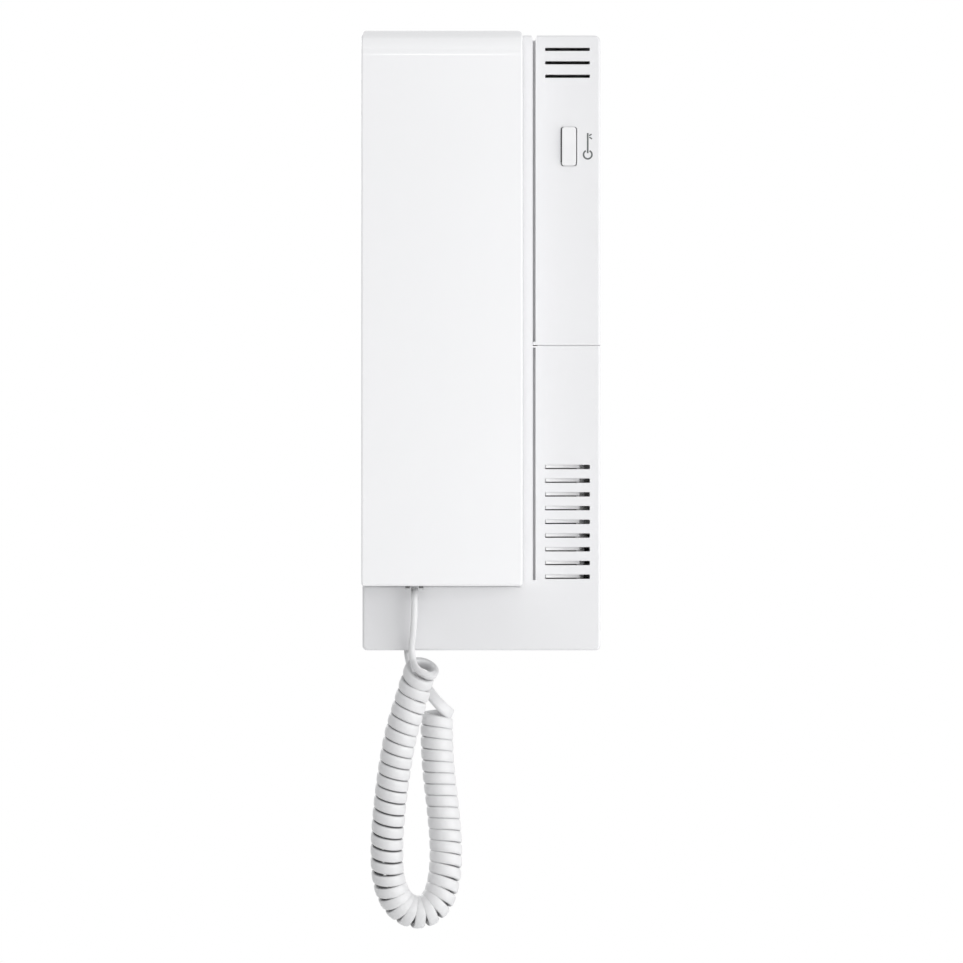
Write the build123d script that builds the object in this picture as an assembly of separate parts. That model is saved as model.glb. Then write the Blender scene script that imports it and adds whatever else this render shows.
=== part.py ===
"""Wall-mounted door-entry telephone with a hung handset and a curly cord.

X runs to the right, Y into the wall and Z up. The origin is on the wall, midway between the two
screw holes of the wall plate. A depth is a distance from the wall towards the user, along -Y.
"""

import math
import os

from build123d import *

# Wall unit
base_width = 85.0
base_height = 219.6
base_depth = 45.0
wall = 2.2
base_corner_radius = 1.7
base_top_right_radius = 2.3
base_edge_radius = 0.9
rear_gap = 0.4
overrun = 1.0
fit_gap = 0.1

# Handset, which takes the width beside the column and the height above the shelf
column_width = 28.0
shelf_height = 23.3
handset_front = 60.0
handset_depth = 30.0
handset_rise = 1.0
handset_overlap = 1.4
handset_wall = 2.0
handset_cover_depth = 14.0
handset_roll_radius = 9.5
handset_top_corner = 2.6
handset_bottom_corner = 1.3
corner_lift = 0.2
handset_edge_radius = 0.6
grip_depth = 20.0
grip_below_ear = 41.0
grip_above_mouth = 45.0
grip_ramp = 12.0
grip_inner_radius = 8.0
grip_outer_radius = 6.0
rear_top_radius = 4.0
rear_bottom_radius = 2.4
front_bottom_radius = 1.3

# How the handset hangs and comes away
handset_clearance = 0.4
cradle_gap = 0.3
lift_angle = 35.0

# Round pads on the handset's back, which seat in the cradle's pockets
ear_pad_radius = 19.0
ear_pad_height = 4.0
ear_pad_drop = 28.8
mouth_pad_radius = 15.0
mouth_pad_height = 3.0
mouth_pad_rise = 22.5
pad_edge_radius = 1.4
pad_clearance = 0.4

# Finger scoop in the cradle floor
scoop_radius = 48.0
scoop_depth = 9.7
scoop_margin = 10.5

# Column ridge, groove and fascia
ridge_width = 4.8
groove_width = 1.0
groove_depth = 2.5
groove_end_gap = 1.2
top_notch_lean = 0.5
groove_backing = 1.6
seam_z = -0.95
seam_gap = 0.3
fascia_depth = 8.0
fascia_side_wall = 1.8
fascia_corner_radius = 1.0
ledge_thickness = 1.6

# Snap hooks of the fascia
hook_width = 6.0
hook_thickness = 1.4
hook_reach = 4.5
hook_barb = 0.7
hook_barb_height = 1.6
fascia_hook_rise = 25.0
fascia_hook_drop = 21.8

# Sound slots
slot_inset = 11.8
slot_length = 16.0
slot_corner_radius = 0.3
lower_slot_height = 1.6
lower_slot_pitch = 4.9
lower_slot_count = 9
lower_slot_rise = 65.5
upper_slot_height = 1.2
upper_slot_pitch = 4.8
upper_slot_count = 3
upper_slot_drop = 5.0

# Baffle behind the lower slots
baffle_gap = 1.0
baffle_thickness = 1.2
baffle_tail_inset = 8.1
baffle_tail = 2.4
baffle_tail_depth = 3.2
baffle_margin = 2.6
baffle_slot_height = 1.3
baffle_slot_drop = 1.05
baffle_slot_length = 12.0

# Door-release button
button_inset = 11.3
button_drop = 39.7
button_width = 5.0
button_height = 13.8
button_corner_radius = 0.9
button_gap = 0.45
button_end_gap = 0.12
button_proud = 1.7
button_crown = 0.5
button_toe = 1.8
button_toe_fall = 0.6
button_flange = 1.6
button_flange_thickness = 1.2
button_stem_radius = 2.0
button_travel = 1.2
button_edge_radius = 0.35
guide_drop = 10.5
guide_thickness = 1.6
guide_height = 20.0
guide_clearance = 0.2

# Hook plunger
hook_inset = 4.5
hook_below_ear = 16.0
hook_tip_radius = 2.9
hook_flange_radius = 5.8
hook_flange_thickness = 1.2
hook_tail_radius = 1.7
hook_travel = 3.5
hook_clearance = 0.2
hook_tip_round = 0.8
collar_radius = 4.8
collar_length = 1.8

# Wall plate
plate_thickness = 2.0
plate_gap = 0.4
plate_rim_thickness = 1.6
plate_rim_height = 4.0
screw_spacing = 120.0
screw_hole_radius = 2.1
screw_boss_radius = 5.5
screw_boss_height = 1.2
cable_entry_inset = 20.5
cable_entry_drop = 24.0
cable_entry_width = 24.0
cable_entry_height = 32.0
cable_entry_corner = 3.0
plate_snap_width = 8.0
plate_snap_thickness = 1.6
plate_snap_depth = 12.0
plate_snap_inset = 16.5
plate_snap_spacing = 34.0

# Circuit board and what is soldered to it
board_thickness = 1.6
board_width = 32.4
board_height = 82.0
board_inset = 3.1
board_drop = 11.8
board_boss_radius = 3.2
board_boss_inset = 4.0
board_boss_rise = 20.0
board_hole_radius = 1.6
board_screw_radius = 1.5
board_screw_floor = 3.0
board_screw_head_radius = 2.9
board_screw_head_height = 2.0
screw_cross = 0.7
terminal_inset = 2.5
terminal_pitch = 3.5
terminal_count = 8
terminal_rise = 3.5
terminal_height = 10.0
terminal_depth = 9.5
terminal_step = 3.0
terminal_screw_radius = 1.2
terminal_screw_length = 3.0
terminal_slot_width = 0.5
terminal_slot_depth = 0.6
terminal_entry_radius = 1.1
terminal_entry_depth = 6.0
switch_size = 6.0
switch_height = 3.6
switch_cap_radius = 1.7
switch_cap_height = 1.4
switch_gap = 0.3
capacitor_radius = 3.15
capacitor_height = 11.0
capacitor_spacing = 9.0
capacitor_rise = 28.0

# Call speaker
speaker_inset = 17.2
speaker_radius = 14.0
speaker_flange = 1.2
speaker_basket_radius = 11.6
speaker_basket_depth = 4.2
speaker_magnet_radius = 7.0
speaker_magnet_depth = 3.2
speaker_cone_depth = 3.0
speaker_cone_thickness = 0.5
speaker_dome_radius = 4.0
speaker_room = 7.5
speaker_seat_wall = 2.0
speaker_window_width = 9.0

# Modular jacks and plugs
jack_width = 10.8
jack_depth = 10.4
jack_length = 14.0
plug_width = 7.65
plug_depth = 6.5
plug_length = 12.6
plug_clearance = 0.06
plug_nose = 2.4
plug_proud = 1.4
plug_latch_width = 3.4
plug_latch_thickness = 0.9
plug_latch_length = 9.0
plug_latch_gap = 0.5
jack_floor_gap = 0.3
contact_count = 4
contact_pitch = 1.02
contact_width = 0.35
contact_length = 3.0
contact_depth = 1.2
handset_jack_inset = 18.7
handset_jack_drop = 8.0
handset_jack_turn = 90.0
base_jack_inset = 16.3
base_jack_depth = 22.0
base_jack_turn = 90.0
base_plug_recess = 1.8

# Parts inside the handset
gasket_thickness = 1.0
gasket_width = 4.0
capsule_gap = 0.3
earpiece_height = 9.0
earpiece_rear_radius = 11.0
earpiece_rear_height = 4.0
ear_hole_radius = 0.95
ear_hole_ring = 6.0
ear_hole_count = 6
mouth_hole_radius = 0.75
mouth_hole_spacing = 4.0
microphone_radius = 4.85
microphone_height = 5.2
boot_wall = 1.6
boot_floor = 1.2
ballast_width = 34.0
ballast_height = 36.0
ballast_thickness = 3.5
ballast_drop = 9.6
ballast_corner_radius = 2.0
ballast_peg_radius = 2.0
ballast_peg_inset = 5.0
handset_screw_gap = 3.5
handset_screw_radius = 1.35
handset_screw_head_radius = 2.7
handset_screw_head_height = 1.8
handset_screw_sink = 3.0
handset_screw_tip_gap = 3.0
screw_slack = 0.05
boss_wall = 1.9
rear_boss_wall = 1.8

# Curly cord: a round cable 2.3 across, wound left-handed
cord_diameter = 2.3
coil_radius = 4.65
coil_pitch = 4.3
coil_least_gap = 0.55
coil_start_angle = 60.0
steps_per_turn = 4
curvature_span = 0.5
pitch_window = 2.0

# Springs
spring_wire = 0.5
hook_spring_length = 6.8
hook_spring_radius = 5.1
hook_spring_turns = 4
button_spring_radius = 3.2
button_spring_turns = 5

# Places that follow from the sizes above
left = -base_width / 2
right = base_width / 2
bottom = -base_height / 2
top = base_height / 2
handset_left = left
handset_right = right - column_width
handset_width = handset_right - handset_left
handset_x = (handset_left + handset_right) / 2
handset_top = top + handset_rise
handset_bottom = bottom + shelf_height
handset_rear = handset_front - handset_depth
handset_split = handset_front - handset_cover_depth
grip_rear = handset_front - grip_depth
ear_pad_z = handset_top - ear_pad_drop
mouth_pad_z = handset_bottom + mouth_pad_rise
grip_top = ear_pad_z - grip_below_ear
grip_bottom = mouth_pad_z + grip_above_mouth
grip_middle = (grip_top + grip_bottom) / 2
handset_screw_tip = handset_front - handset_wall - handset_screw_tip_gap
handset_screw_zs = (
    ear_pad_z - ear_pad_radius - handset_screw_gap,
    mouth_pad_z + mouth_pad_radius + handset_screw_gap,
)
ballast_depth = handset_front - ballast_drop
cradle_floor = handset_rear - cradle_gap
handset_side_x = handset_right - handset_overlap
cradle_right = handset_side_x + handset_clearance
shelf_top = handset_bottom - handset_clearance
scoop_right = handset_right - scoop_margin
ridge_right = cradle_right + ridge_width
groove_right = ridge_right + groove_width
groove_bottom = shelf_top + wall
fascia_rear = base_depth - fascia_depth
fascia_hook_places = (seam_z + fascia_hook_rise, top - fascia_hook_drop)
slot_x = right - slot_inset
upper_slot_top = top - upper_slot_drop
lower_slot_top = bottom + lower_slot_rise
baffle_end = right - baffle_tail_inset
button_x = right - button_inset
button_z = top - button_drop
guide_depth = base_depth - guide_drop
hook_x = handset_right - hook_inset
hook_z = ear_pad_z - hook_below_ear
hook_flange_front = cradle_floor - wall - collar_length - hook_clearance - hook_travel
hook_flange_rear = hook_flange_front - hook_flange_thickness
board_front = hook_flange_rear - hook_spring_length
board_rear = board_front - board_thickness
board_right = right - board_inset
board_left = board_right - board_width
board_top = top - board_drop
board_bottom = board_top - board_height
board_boss_xs = (board_left + board_boss_inset, board_right - board_boss_inset)
board_boss_zs = (board_bottom + board_boss_rise, board_top - board_boss_inset)
board_screw_tip = plate_thickness + board_screw_floor
terminal_left = board_left + terminal_inset
terminal_bottom = board_bottom + terminal_rise
capacitor_places = tuple(
    (board_left + board_width / 2 + side * capacitor_spacing / 2, board_bottom + capacitor_rise)
    for side in (-1, 1)
)
speaker_x = right - speaker_inset
speaker_z = lower_slot_top - lower_slot_pitch * (lower_slot_count - 1) / 2
speaker_seat_depth = cradle_floor - wall - speaker_room
cable_entry_x = right - cable_entry_inset
cable_entry_z = board_bottom - cable_entry_drop
plate_snap_places = (left + plate_snap_inset, left + plate_snap_inset + plate_snap_spacing)
handset_jack_x = left + handset_jack_inset
handset_jack_depth = handset_front - handset_jack_drop
base_jack_x = left + base_jack_inset
base_plug_face = bottom + base_plug_recess
jack_window_gap = 0.25
lift_direction = Vector(0, -math.cos(math.radians(lift_angle)), math.sin(math.radians(lift_angle)))

# Routes, chosen by hand, as (x, depth, z)
handset_lead_route = [
    (handset_jack_x, handset_jack_depth, None),
    (-23.8, 52.0, -96.0),
    (-25.2, 52.5, -104.6),
    (-25.2, 52.5, -112.0),
]
base_lead_route = [
    (base_jack_x, base_jack_depth, None),
    (-26.2, 22.0, -114.2),
]
coil_axis_route = [
    (-22.4, 47.6, -118.6),
    (-25.2, 43.8, -129.0),
    (-28.4, 40.6, -141.0),
    (-31.0, 38.2, -154.0),
    (-32.7, 36.4, -168.0),
    (-33.5, 35.2, -181.0),
    (-32.6, 34.6, -193.0),
    (-28.8, 34.3, -200.4),
    (-22.6, 34.1, -203.4),
    (-16.6, 33.6, -200.2),
    (-13.4, 32.6, -192.0),
    (-12.7, 30.6, -180.0),
    (-14.0, 28.4, -166.0),
    (-15.7, 26.6, -152.0),
    (-16.2, 25.4, -140.0),
    (-15.9, 24.9, -130.0),
]


def span(low, high):
    """The middle and the length of a stretch."""
    return (low + high) / 2, high - low


def rectangle(x_low, x_high, z_low, z_high, radius=0.0):
    """A rectangle seen from the front, with rounded corners if a radius is given."""
    (x, width), (z, height) = span(x_low, x_high), span(z_low, z_high)
    shape = RectangleRounded(width, height, radius) if radius else Rectangle(width, height)
    return Pos(x, z) * shape


def layer(outline, near, far):
    """An outline seen from the front, made solid between two depths."""
    return extrude(Plane.XZ.offset(near) * outline, far - near)


def peg(x, z, radius, near, far):
    """A round peg that stands out from the wall."""
    return layer(Pos(x, z) * Circle(radius), near, far)


def block(x_range, depth_range, z_range):
    """A plain block between two places along each axis."""
    return layer(rectangle(*x_range, *z_range), *depth_range)


def place(x, depth, z):
    """A point given by its depth from the wall."""
    return Vector(x, -depth, z)


def cut_edges(solid, edges, radius):
    """Rounds some edges of a solid."""
    return fillet(edges, radius) if edges else solid


# Cradle and wall unit


def pocket(z, radius, height, grow):
    """The space of a round pad and of its way out along the lift: upright below, sloping above."""
    floor = handset_rear - height - cradle_gap - grow
    front = cradle_floor + overrun
    radius += pad_clearance + grow
    slope = math.radians(lift_angle)
    lower_half = Circle(radius) & Pos(0, -radius / 2) * Rectangle(radius * 2, radius)
    upper_half = Circle(radius) & Pos(0, radius / 2) * Rectangle(radius * 2, radius)
    seat = Plane.XZ.offset(floor) * Pos(handset_x, z)
    space = extrude(seat * lower_half, front - floor)
    space += extrude(seat * upper_half, (front - floor) / math.cos(slope), dir=lift_direction)
    rise = (front - floor) * math.tan(slope)
    wedge = make_face(Polyline((-floor, z), (-front, z), (-front, z + rise), close=True))
    return space + extrude(Plane.YZ.offset(handset_x - radius) * wedge, radius * 2)


def finger_scoop(grow):
    """The round hollow in the cradle floor, open to the left, where fingers go behind the grip."""
    axis_depth = cradle_floor + scoop_radius - scoop_depth
    low, high = left - overrun, scoop_right + grow
    middle, length = span(low, high)
    roller = Rot(0, 90, 0) * Cylinder(scoop_radius + grow, length)
    roller = Pos(middle, -axis_depth, grip_middle) * roller
    front = block((low, high), (0.0, cradle_floor + overrun), (bottom, top))
    return roller & front


def cradle_space(grow):
    """The room that the hung handset, its pads and the fingers behind it take."""
    room = block(
        (left - overrun, cradle_right + grow),
        (cradle_floor - grow, base_depth + overrun),
        (shelf_top - grow, top + overrun),
    )
    room += pocket(ear_pad_z, ear_pad_radius, ear_pad_height, grow)
    room += pocket(mouth_pad_z, mouth_pad_radius, mouth_pad_height, grow)
    return room + finger_scoop(grow)


def outer_shape():
    """The wall unit's outside, with the cradle taken out and its front edges rounded."""
    outline = rectangle(left, right, bottom, top, base_corner_radius)
    # the upper right corner is rounder than the others
    past = base_top_right_radius * 2
    outline &= rectangle(left - past, right, bottom - past, top, base_top_right_radius)
    solid = layer(outline, rear_gap, base_depth)
    solid -= block(
        (left - overrun, cradle_right),
        (cradle_floor, base_depth + overrun),
        (shelf_top, top + overrun),
    )
    solid = fillet(solid.faces().sort_by(Axis.Y)[0].edges(), base_edge_radius)
    # the V that ridge and fascia leave between them in the top edge
    low, high = top - groove_end_gap, top + overrun
    lean = top_notch_lean * (groove_end_gap + overrun) / groove_end_gap
    notch = Polygon(
        (ridge_right, low),
        (groove_right, low),
        (groove_right + lean, high),
        (ridge_right - lean, high),
        align=None,
    )
    return solid - layer(notch, rear_gap - overrun, base_depth + overrun)


def fascia_room():
    """The corner of the wall unit that the removable fascia fills."""
    return block(
        (groove_right, right + overrun),
        (fascia_rear, base_depth + overrun),
        (seam_z + seam_gap / 2, top + overrun),
    )


def slots(top_z, pitch, count, height, length=slot_length, x=slot_x):
    """A column of sound slots, seen from the front."""
    return Sketch() + [
        Pos(x, top_z - pitch * i) * RectangleRounded(length, height, slot_corner_radius)
        for i in range(count)
    ]


def make_front_housing(outside):
    """Front moulding: cradle, ridge, lower column with nine slots, and shelf."""
    inside_right, inside_top, inside_bottom = right - wall, top - wall, bottom + wall
    cavity = block((left + wall, inside_right), (0.0, base_depth - wall), (inside_bottom, inside_top))
    cavity -= cradle_space(wall)
    housing = outside - cavity
    for z, radius, height in (
        (ear_pad_z, ear_pad_radius, ear_pad_height),
        (mouth_pad_z, mouth_pad_radius, mouth_pad_height),
    ):
        housing -= pocket(z, radius, height, 0.0)
    housing -= finger_scoop(0.0)

    # the opening under the fascia, and the groove beside it
    housing -= block(
        (ridge_right, right + overrun),
        (fascia_rear, base_depth + overrun),
        (seam_z - seam_gap / 2, top + overrun),
    )
    groove_floor = base_depth - groove_depth
    groove_top = seam_z - seam_gap / 2 - groove_end_gap / 2
    housing += block(
        (cradle_right, groove_right + groove_backing),
        (groove_floor - groove_backing, base_depth - wall),
        (groove_bottom - groove_backing, seam_z - seam_gap / 2),
    )
    housing -= block(
        (ridge_right, groove_right), (groove_floor, base_depth + overrun), (groove_bottom, groove_top)
    )
    # the wall that closes the lower column, and the ledges the fascia sits on
    seam_low = seam_z - seam_gap / 2 - wall
    housing += block(
        (cradle_right, right - base_edge_radius),
        (fascia_rear - ledge_thickness, base_depth - wall),
        (seam_low, seam_z - seam_gap / 2),
    )
    housing += block(
        (cradle_right, groove_right + fascia_side_wall),
        (fascia_rear - ledge_thickness, fascia_rear),
        (seam_low, inside_top + overrun),
    )
    housing += block(
        (cradle_right, inside_right + overrun),
        (fascia_rear - ledge_thickness, fascia_rear),
        (seam_low, seam_z + seam_gap / 2 + fascia_side_wall),
    )
    # recesses for the fascia's hooks
    for z in fascia_hook_places:
        housing -= fascia_hook_recess(z)

    # guide plate of the button's stem
    housing += block(
        (cradle_right, inside_right + overrun),
        (guide_depth - guide_thickness, guide_depth),
        (button_z - guide_height / 2, button_z + guide_height / 2),
    )
    stem_hole = button_stem_radius + guide_clearance
    guide_rear = guide_depth - guide_thickness
    housing -= peg(button_x, button_z, stem_hole, guide_rear - overrun, guide_depth + overrun)

    # collar of the hook plunger
    inner_floor = cradle_floor - wall
    housing += peg(hook_x, hook_z, collar_radius, inner_floor - collar_length, inner_floor + wall / 2)
    hook_hole = hook_tip_radius + hook_clearance
    housing -= peg(hook_x, hook_z, hook_hole, inner_floor - collar_length - overrun, cradle_floor + overrun)

    # the nine sound slots
    grille = slots(lower_slot_top, lower_slot_pitch, lower_slot_count, lower_slot_height)
    housing -= layer(grille, base_depth - wall - overrun, base_depth + overrun)

    # window for the base cord's plug
    housing -= jack_window(base_jack_x, base_jack_depth, bottom, wall, base_jack_turn)
    # recesses for the wall plate's snap hooks
    for x in plate_snap_places:
        for z, inward in ((inside_top, 1), (inside_bottom, -1)):
            housing -= snap_barb(x, z, inward, fit_gap)
    return housing


def jack_window(x, depth, z, thickness, turn=0.0):
    """The window in a bottom wall that a plug goes through."""
    half_width = plug_width / 2 + jack_window_gap
    half_depth = plug_depth / 2 + jack_window_gap
    z_range = (z - overrun, z + thickness + overrun)
    window = block((-half_width, half_width), (-half_depth, half_depth), z_range)
    return Pos(x, -depth, 0) * Rot(0, 0, turn) * window


def fascia_hook(z, grow=0.0):
    """One hook inside the fascia's right wall, with its barb outwards."""
    inner = right - wall - fit_gap
    low = fascia_rear - hook_reach
    z_range = (z - hook_width / 2 - grow, z + hook_width / 2 + grow)
    arm = block((inner - hook_thickness, inner), (low, base_depth - wall), z_range)
    root_x = (inner - hook_thickness, inner + fit_gap * 2)
    return arm + block(root_x, (fascia_rear, base_depth - wall), z_range)


def fascia_barb(z, grow):
    """The wedge at the hook's end, which snaps into the housing's side wall."""
    inner = right - wall - fit_gap
    low = fascia_rear - hook_reach
    wedge = Polyline(
        (inner - overrun / 2, -low + grow),
        (inner + grow, -low + grow),
        (inner + fit_gap + hook_barb + grow, -low - hook_barb_height - grow),
        (inner - overrun / 2, -low - hook_barb_height - grow),
        close=True,
    )
    z_low = z - hook_width / 2 - grow
    return extrude(Plane.XY.offset(z_low) * make_face(wedge), hook_width + grow * 2)


def fascia_hook_recess(z):
    """The pocket in the housing's side wall that takes a hook's barb."""
    return fascia_barb(z, fit_gap)


def make_upper_fascia(outside):
    """Removable cover of the upper column, a shallow tray with three slots and the button's opening."""
    fascia = outside & fascia_room()
    upright = fascia.edges().filter_by(Axis.Y).sort_by(Axis.X)
    outer_corner = [e for e in upright if abs(e.center().X - groove_right) < groove_width / 2]
    fascia = cut_edges(fascia, outer_corner, fascia_corner_radius)
    seam_low = seam_z + seam_gap / 2
    fascia -= layer(
        rectangle(groove_right + fascia_side_wall, right - wall, seam_low + fascia_side_wall, top - wall),
        fascia_rear - overrun,
        base_depth - wall,
    )
    # the lip is the groove's floor
    fascia += block(
        (ridge_right + fit_gap, groove_right + fascia_side_wall / 2),
        (fascia_rear, base_depth - groove_depth),
        (seam_low, top - fascia_corner_radius - groove_end_gap / 2),
    )
    fascia += block(
        (ridge_right + fit_gap, groove_right + fascia_side_wall / 2),
        (fascia_rear, base_depth),
        (seam_low, seam_low + groove_end_gap),
    )
    for z in fascia_hook_places:
        fascia += fascia_hook(z)
        fascia += fascia_barb(z, 0.0)
    grille = slots(upper_slot_top, upper_slot_pitch, upper_slot_count, upper_slot_height)
    fascia -= layer(grille, base_depth - wall - overrun, base_depth + overrun)
    half_width = button_width / 2 + button_gap
    half_height = button_height / 2 + button_end_gap
    opening = Pos(button_x, button_z) * RectangleRounded(
        half_width * 2, half_height * 2, button_corner_radius + button_end_gap
    )
    return fascia - layer(opening, base_depth - wall - overrun, base_depth + overrun)


def make_sound_baffle():
    """White plate behind the nine slots, with its own slots set lower and its right end curled back."""
    front = base_depth - wall - baffle_gap
    back = front - baffle_thickness
    low = lower_slot_top - lower_slot_pitch * (lower_slot_count - 1) - baffle_margin
    high = lower_slot_top + baffle_margin
    baffle_left = groove_right + groove_backing + fit_gap
    plan = Polyline(
        (baffle_left, -front),
        (baffle_end, -front),
        (baffle_end + baffle_tail, -front + baffle_tail_depth),
        (baffle_end + baffle_tail - baffle_thickness, -front + baffle_tail_depth),
        (baffle_end - baffle_thickness / 2, -back),
        (baffle_left, -back),
        close=True,
    )
    plate = extrude(Plane.XY.offset(low) * make_face(plan), high - low)
    openings = slots(
        lower_slot_top - baffle_slot_drop,
        lower_slot_pitch,
        lower_slot_count,
        baffle_slot_height,
        baffle_slot_length,
        baffle_left + overrun + baffle_slot_length / 2,
    )
    plate -= layer(openings, back - overrun, front + overrun)
    # bars along the top and bottom stand the plate off the housing
    bar = baffle_margin - lower_slot_height
    for z_low, z_high in ((low, low + bar), (high - bar, high)):
        plate += block((baffle_left, baffle_end), (back, base_depth - wall), (z_low, z_high))
    return plate


# Wall plate


def snap_barb(x, z, inward, grow):
    """The barb at a snap hook's end. inward is 1 at the top wall and -1 at the bottom one."""
    depth_range = (
        plate_snap_depth - hook_barb_height - grow,
        plate_snap_depth + grow,
    )
    x_range = (x - plate_snap_width / 2 - grow, x + plate_snap_width / 2 + grow)
    z_low, z_high = sorted((z - inward * plate_gap, z + inward * (hook_barb + grow)))
    return block(x_range, depth_range, (z_low, z_high))


def make_wall_plate():
    """Back plate screwed to the wall: rim, snap hooks, board posts, speaker seat and jack pedestal."""
    low_x, high_x = left + wall + plate_gap, right - wall - plate_gap
    low_z, high_z = bottom + wall + plate_gap, top - wall - plate_gap
    outline = rectangle(low_x, high_x, low_z, high_z, base_corner_radius)
    plate = layer(outline, 0.0, plate_thickness)
    rim = layer(outline, 0.0, plate_thickness + plate_rim_height)
    rim -= layer(
        rectangle(
            low_x + plate_rim_thickness,
            high_x - plate_rim_thickness,
            low_z + plate_rim_thickness,
            high_z - plate_rim_thickness,
        ),
        0.0,
        plate_thickness + plate_rim_height + overrun,
    )
    plate += rim
    for x in plate_snap_places:
        x_range = (x - plate_snap_width / 2, x + plate_snap_width / 2)
        plate += block(x_range, (0.0, plate_snap_depth), (high_z - plate_snap_thickness, high_z))
        plate += block(x_range, (0.0, plate_snap_depth), (low_z, low_z + plate_snap_thickness))
        plate += snap_barb(x, top - wall, 1, 0.0)
        plate += snap_barb(x, bottom + wall, -1, 0.0)
    for z in (-screw_spacing / 2, screw_spacing / 2):
        plate += peg(0.0, z, screw_boss_radius, 0.0, plate_thickness + screw_boss_height)
        plate -= peg(0.0, z, screw_hole_radius, -overrun, plate_thickness + screw_boss_height + overrun)
    entry = Pos(cable_entry_x, cable_entry_z) * RectangleRounded(
        cable_entry_width, cable_entry_height, cable_entry_corner
    )
    plate -= layer(entry, -overrun, plate_thickness + overrun)
    for x in board_boss_xs:
        for z in board_boss_zs:
            plate += peg(x, z, board_boss_radius, 0.0, board_rear)
            plate -= peg(x, z, board_screw_radius + screw_slack, board_screw_tip, board_rear + overrun)
    return plate + speaker_seat() + jack_pedestal()


def speaker_seat():
    """Round wall that carries the speaker's flange, with windows for its wires."""
    inner = speaker_radius - speaker_seat_wall
    seat_top = speaker_seat_depth - speaker_flange
    seat = peg(speaker_x, speaker_z, speaker_radius, 0.0, seat_top)
    seat -= peg(speaker_x, speaker_z, inner, plate_thickness, seat_top + overrun)
    half = speaker_window_width / 2
    for x_range, z_range in (
        ((speaker_x - speaker_radius - overrun, speaker_x), (speaker_z - half, speaker_z + half)),
        ((speaker_x - half, speaker_x + half), (speaker_z, speaker_z + speaker_radius + overrun)),
    ):
        window_top = seat_top - speaker_basket_depth
        seat -= block(x_range, (plate_thickness, window_top), z_range)
    return seat


def jack_pedestal():
    """Block that stands the base jack, a quarter turned, off the plate."""
    low = bottom + wall + plate_gap
    return block(
        (base_jack_x - jack_depth / 2, base_jack_x + jack_depth / 2),
        (0.0, base_jack_depth - jack_width / 2),
        (low, low + jack_length),
    )


# Circuit board


def make_circuit_board():
    """The board, drilled for its screws."""
    board = block((board_left, board_right), (board_rear, board_front), (board_bottom, board_top))
    for x in board_boss_xs:
        for z in board_boss_zs:
            board -= peg(x, z, board_hole_radius, board_rear - overrun, board_front + overrun)
    return board


def cross_recess(x, z, length, depth_range):
    """The two crossed slots of a screw's head."""
    half, half_width = length / 2, screw_cross / 2
    recess = block((x - half, x + half), depth_range, (z - half_width, z + half_width))
    return recess + block((x - half_width, x + half_width), depth_range, (z - half, z + half))


def make_board_screws():
    """Pan-head screws with a cross recess, from the board into the plate's posts."""
    screws = []
    for x in board_boss_xs:
        for z in board_boss_zs:
            head_top = board_front + board_screw_head_height
            screw = peg(x, z, board_screw_radius, board_screw_tip, head_top)
            screw += peg(x, z, board_screw_head_radius, board_front, head_top)
            screw = fillet(screw.edges().sort_by(Axis.Y)[0], board_screw_head_height / 3)
            recess = (head_top - board_screw_head_height / 2, head_top + overrun)
            screws.append(screw - cross_recess(x, z, board_screw_head_radius, recess))
    return screws



def terminal_xs():
    """The middle of each way of the terminal block."""
    return [terminal_left + terminal_pitch * (i + 1 / 2) for i in range(terminal_count)]


def make_terminal_block():
    """Screw terminal block: a stepped moulding with a wire entry and a screw well for each way."""
    terminal_right = terminal_left + terminal_pitch * terminal_count
    low, high = terminal_bottom, terminal_bottom + terminal_height
    front = board_front + terminal_depth
    body = block((terminal_left, terminal_right), (board_front, front), (low, high))
    body -= block(
        (terminal_left - overrun, terminal_right + overrun),
        (front - terminal_step, front + overrun),
        (low - overrun, low + terminal_step),
    )
    well_z = (low + terminal_step + high) / 2
    well_floor = front - terminal_screw_length
    entry_depth = board_front + (terminal_depth - terminal_step) / 2
    for x in terminal_xs():
        body -= peg(x, well_z, terminal_screw_radius + screw_slack, well_floor, front + overrun)
        mouth = Plane.XY.offset(low - overrun) * Pos(x, -entry_depth)
        body -= extrude(mouth * Circle(terminal_entry_radius), terminal_entry_depth + overrun)
    return body


def make_terminal_screws():
    """One slotted screw down each well."""
    low, high = terminal_bottom, terminal_bottom + terminal_height
    front = board_front + terminal_depth
    well_z = (low + terminal_step + high) / 2
    screws = []
    for x in terminal_xs():
        well_floor = front - terminal_screw_length
        screw = peg(x, well_z, terminal_screw_radius, well_floor, front - terminal_slot_depth)
        screw -= block(
            (x - terminal_screw_radius, x + terminal_screw_radius),
            (front - terminal_slot_depth * 2, front),
            (well_z - terminal_slot_width / 2, well_z + terminal_slot_width / 2),
        )
        screws.append(screw)
    return screws


def push_switch(x, z):
    """Square push switch with a round cap, soldered to the board."""
    half = switch_size / 2
    body = block((x - half, x + half), (board_front, board_front + switch_height), (z - half, z + half))
    cap_top = board_front + switch_height + switch_cap_height
    return body + peg(x, z, switch_cap_radius, board_front, cap_top)


def make_capacitors():
    """Two electrolytic capacitors that stand on the board."""
    cans = []
    for x, z in capacitor_places:
        can = peg(x, z, capacitor_radius, board_front, board_front + capacitor_height)
        cans.append(fillet(can.edges().sort_by(Axis.Y)[0], capacitor_radius / 6))
    return cans


# Call speaker


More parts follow.
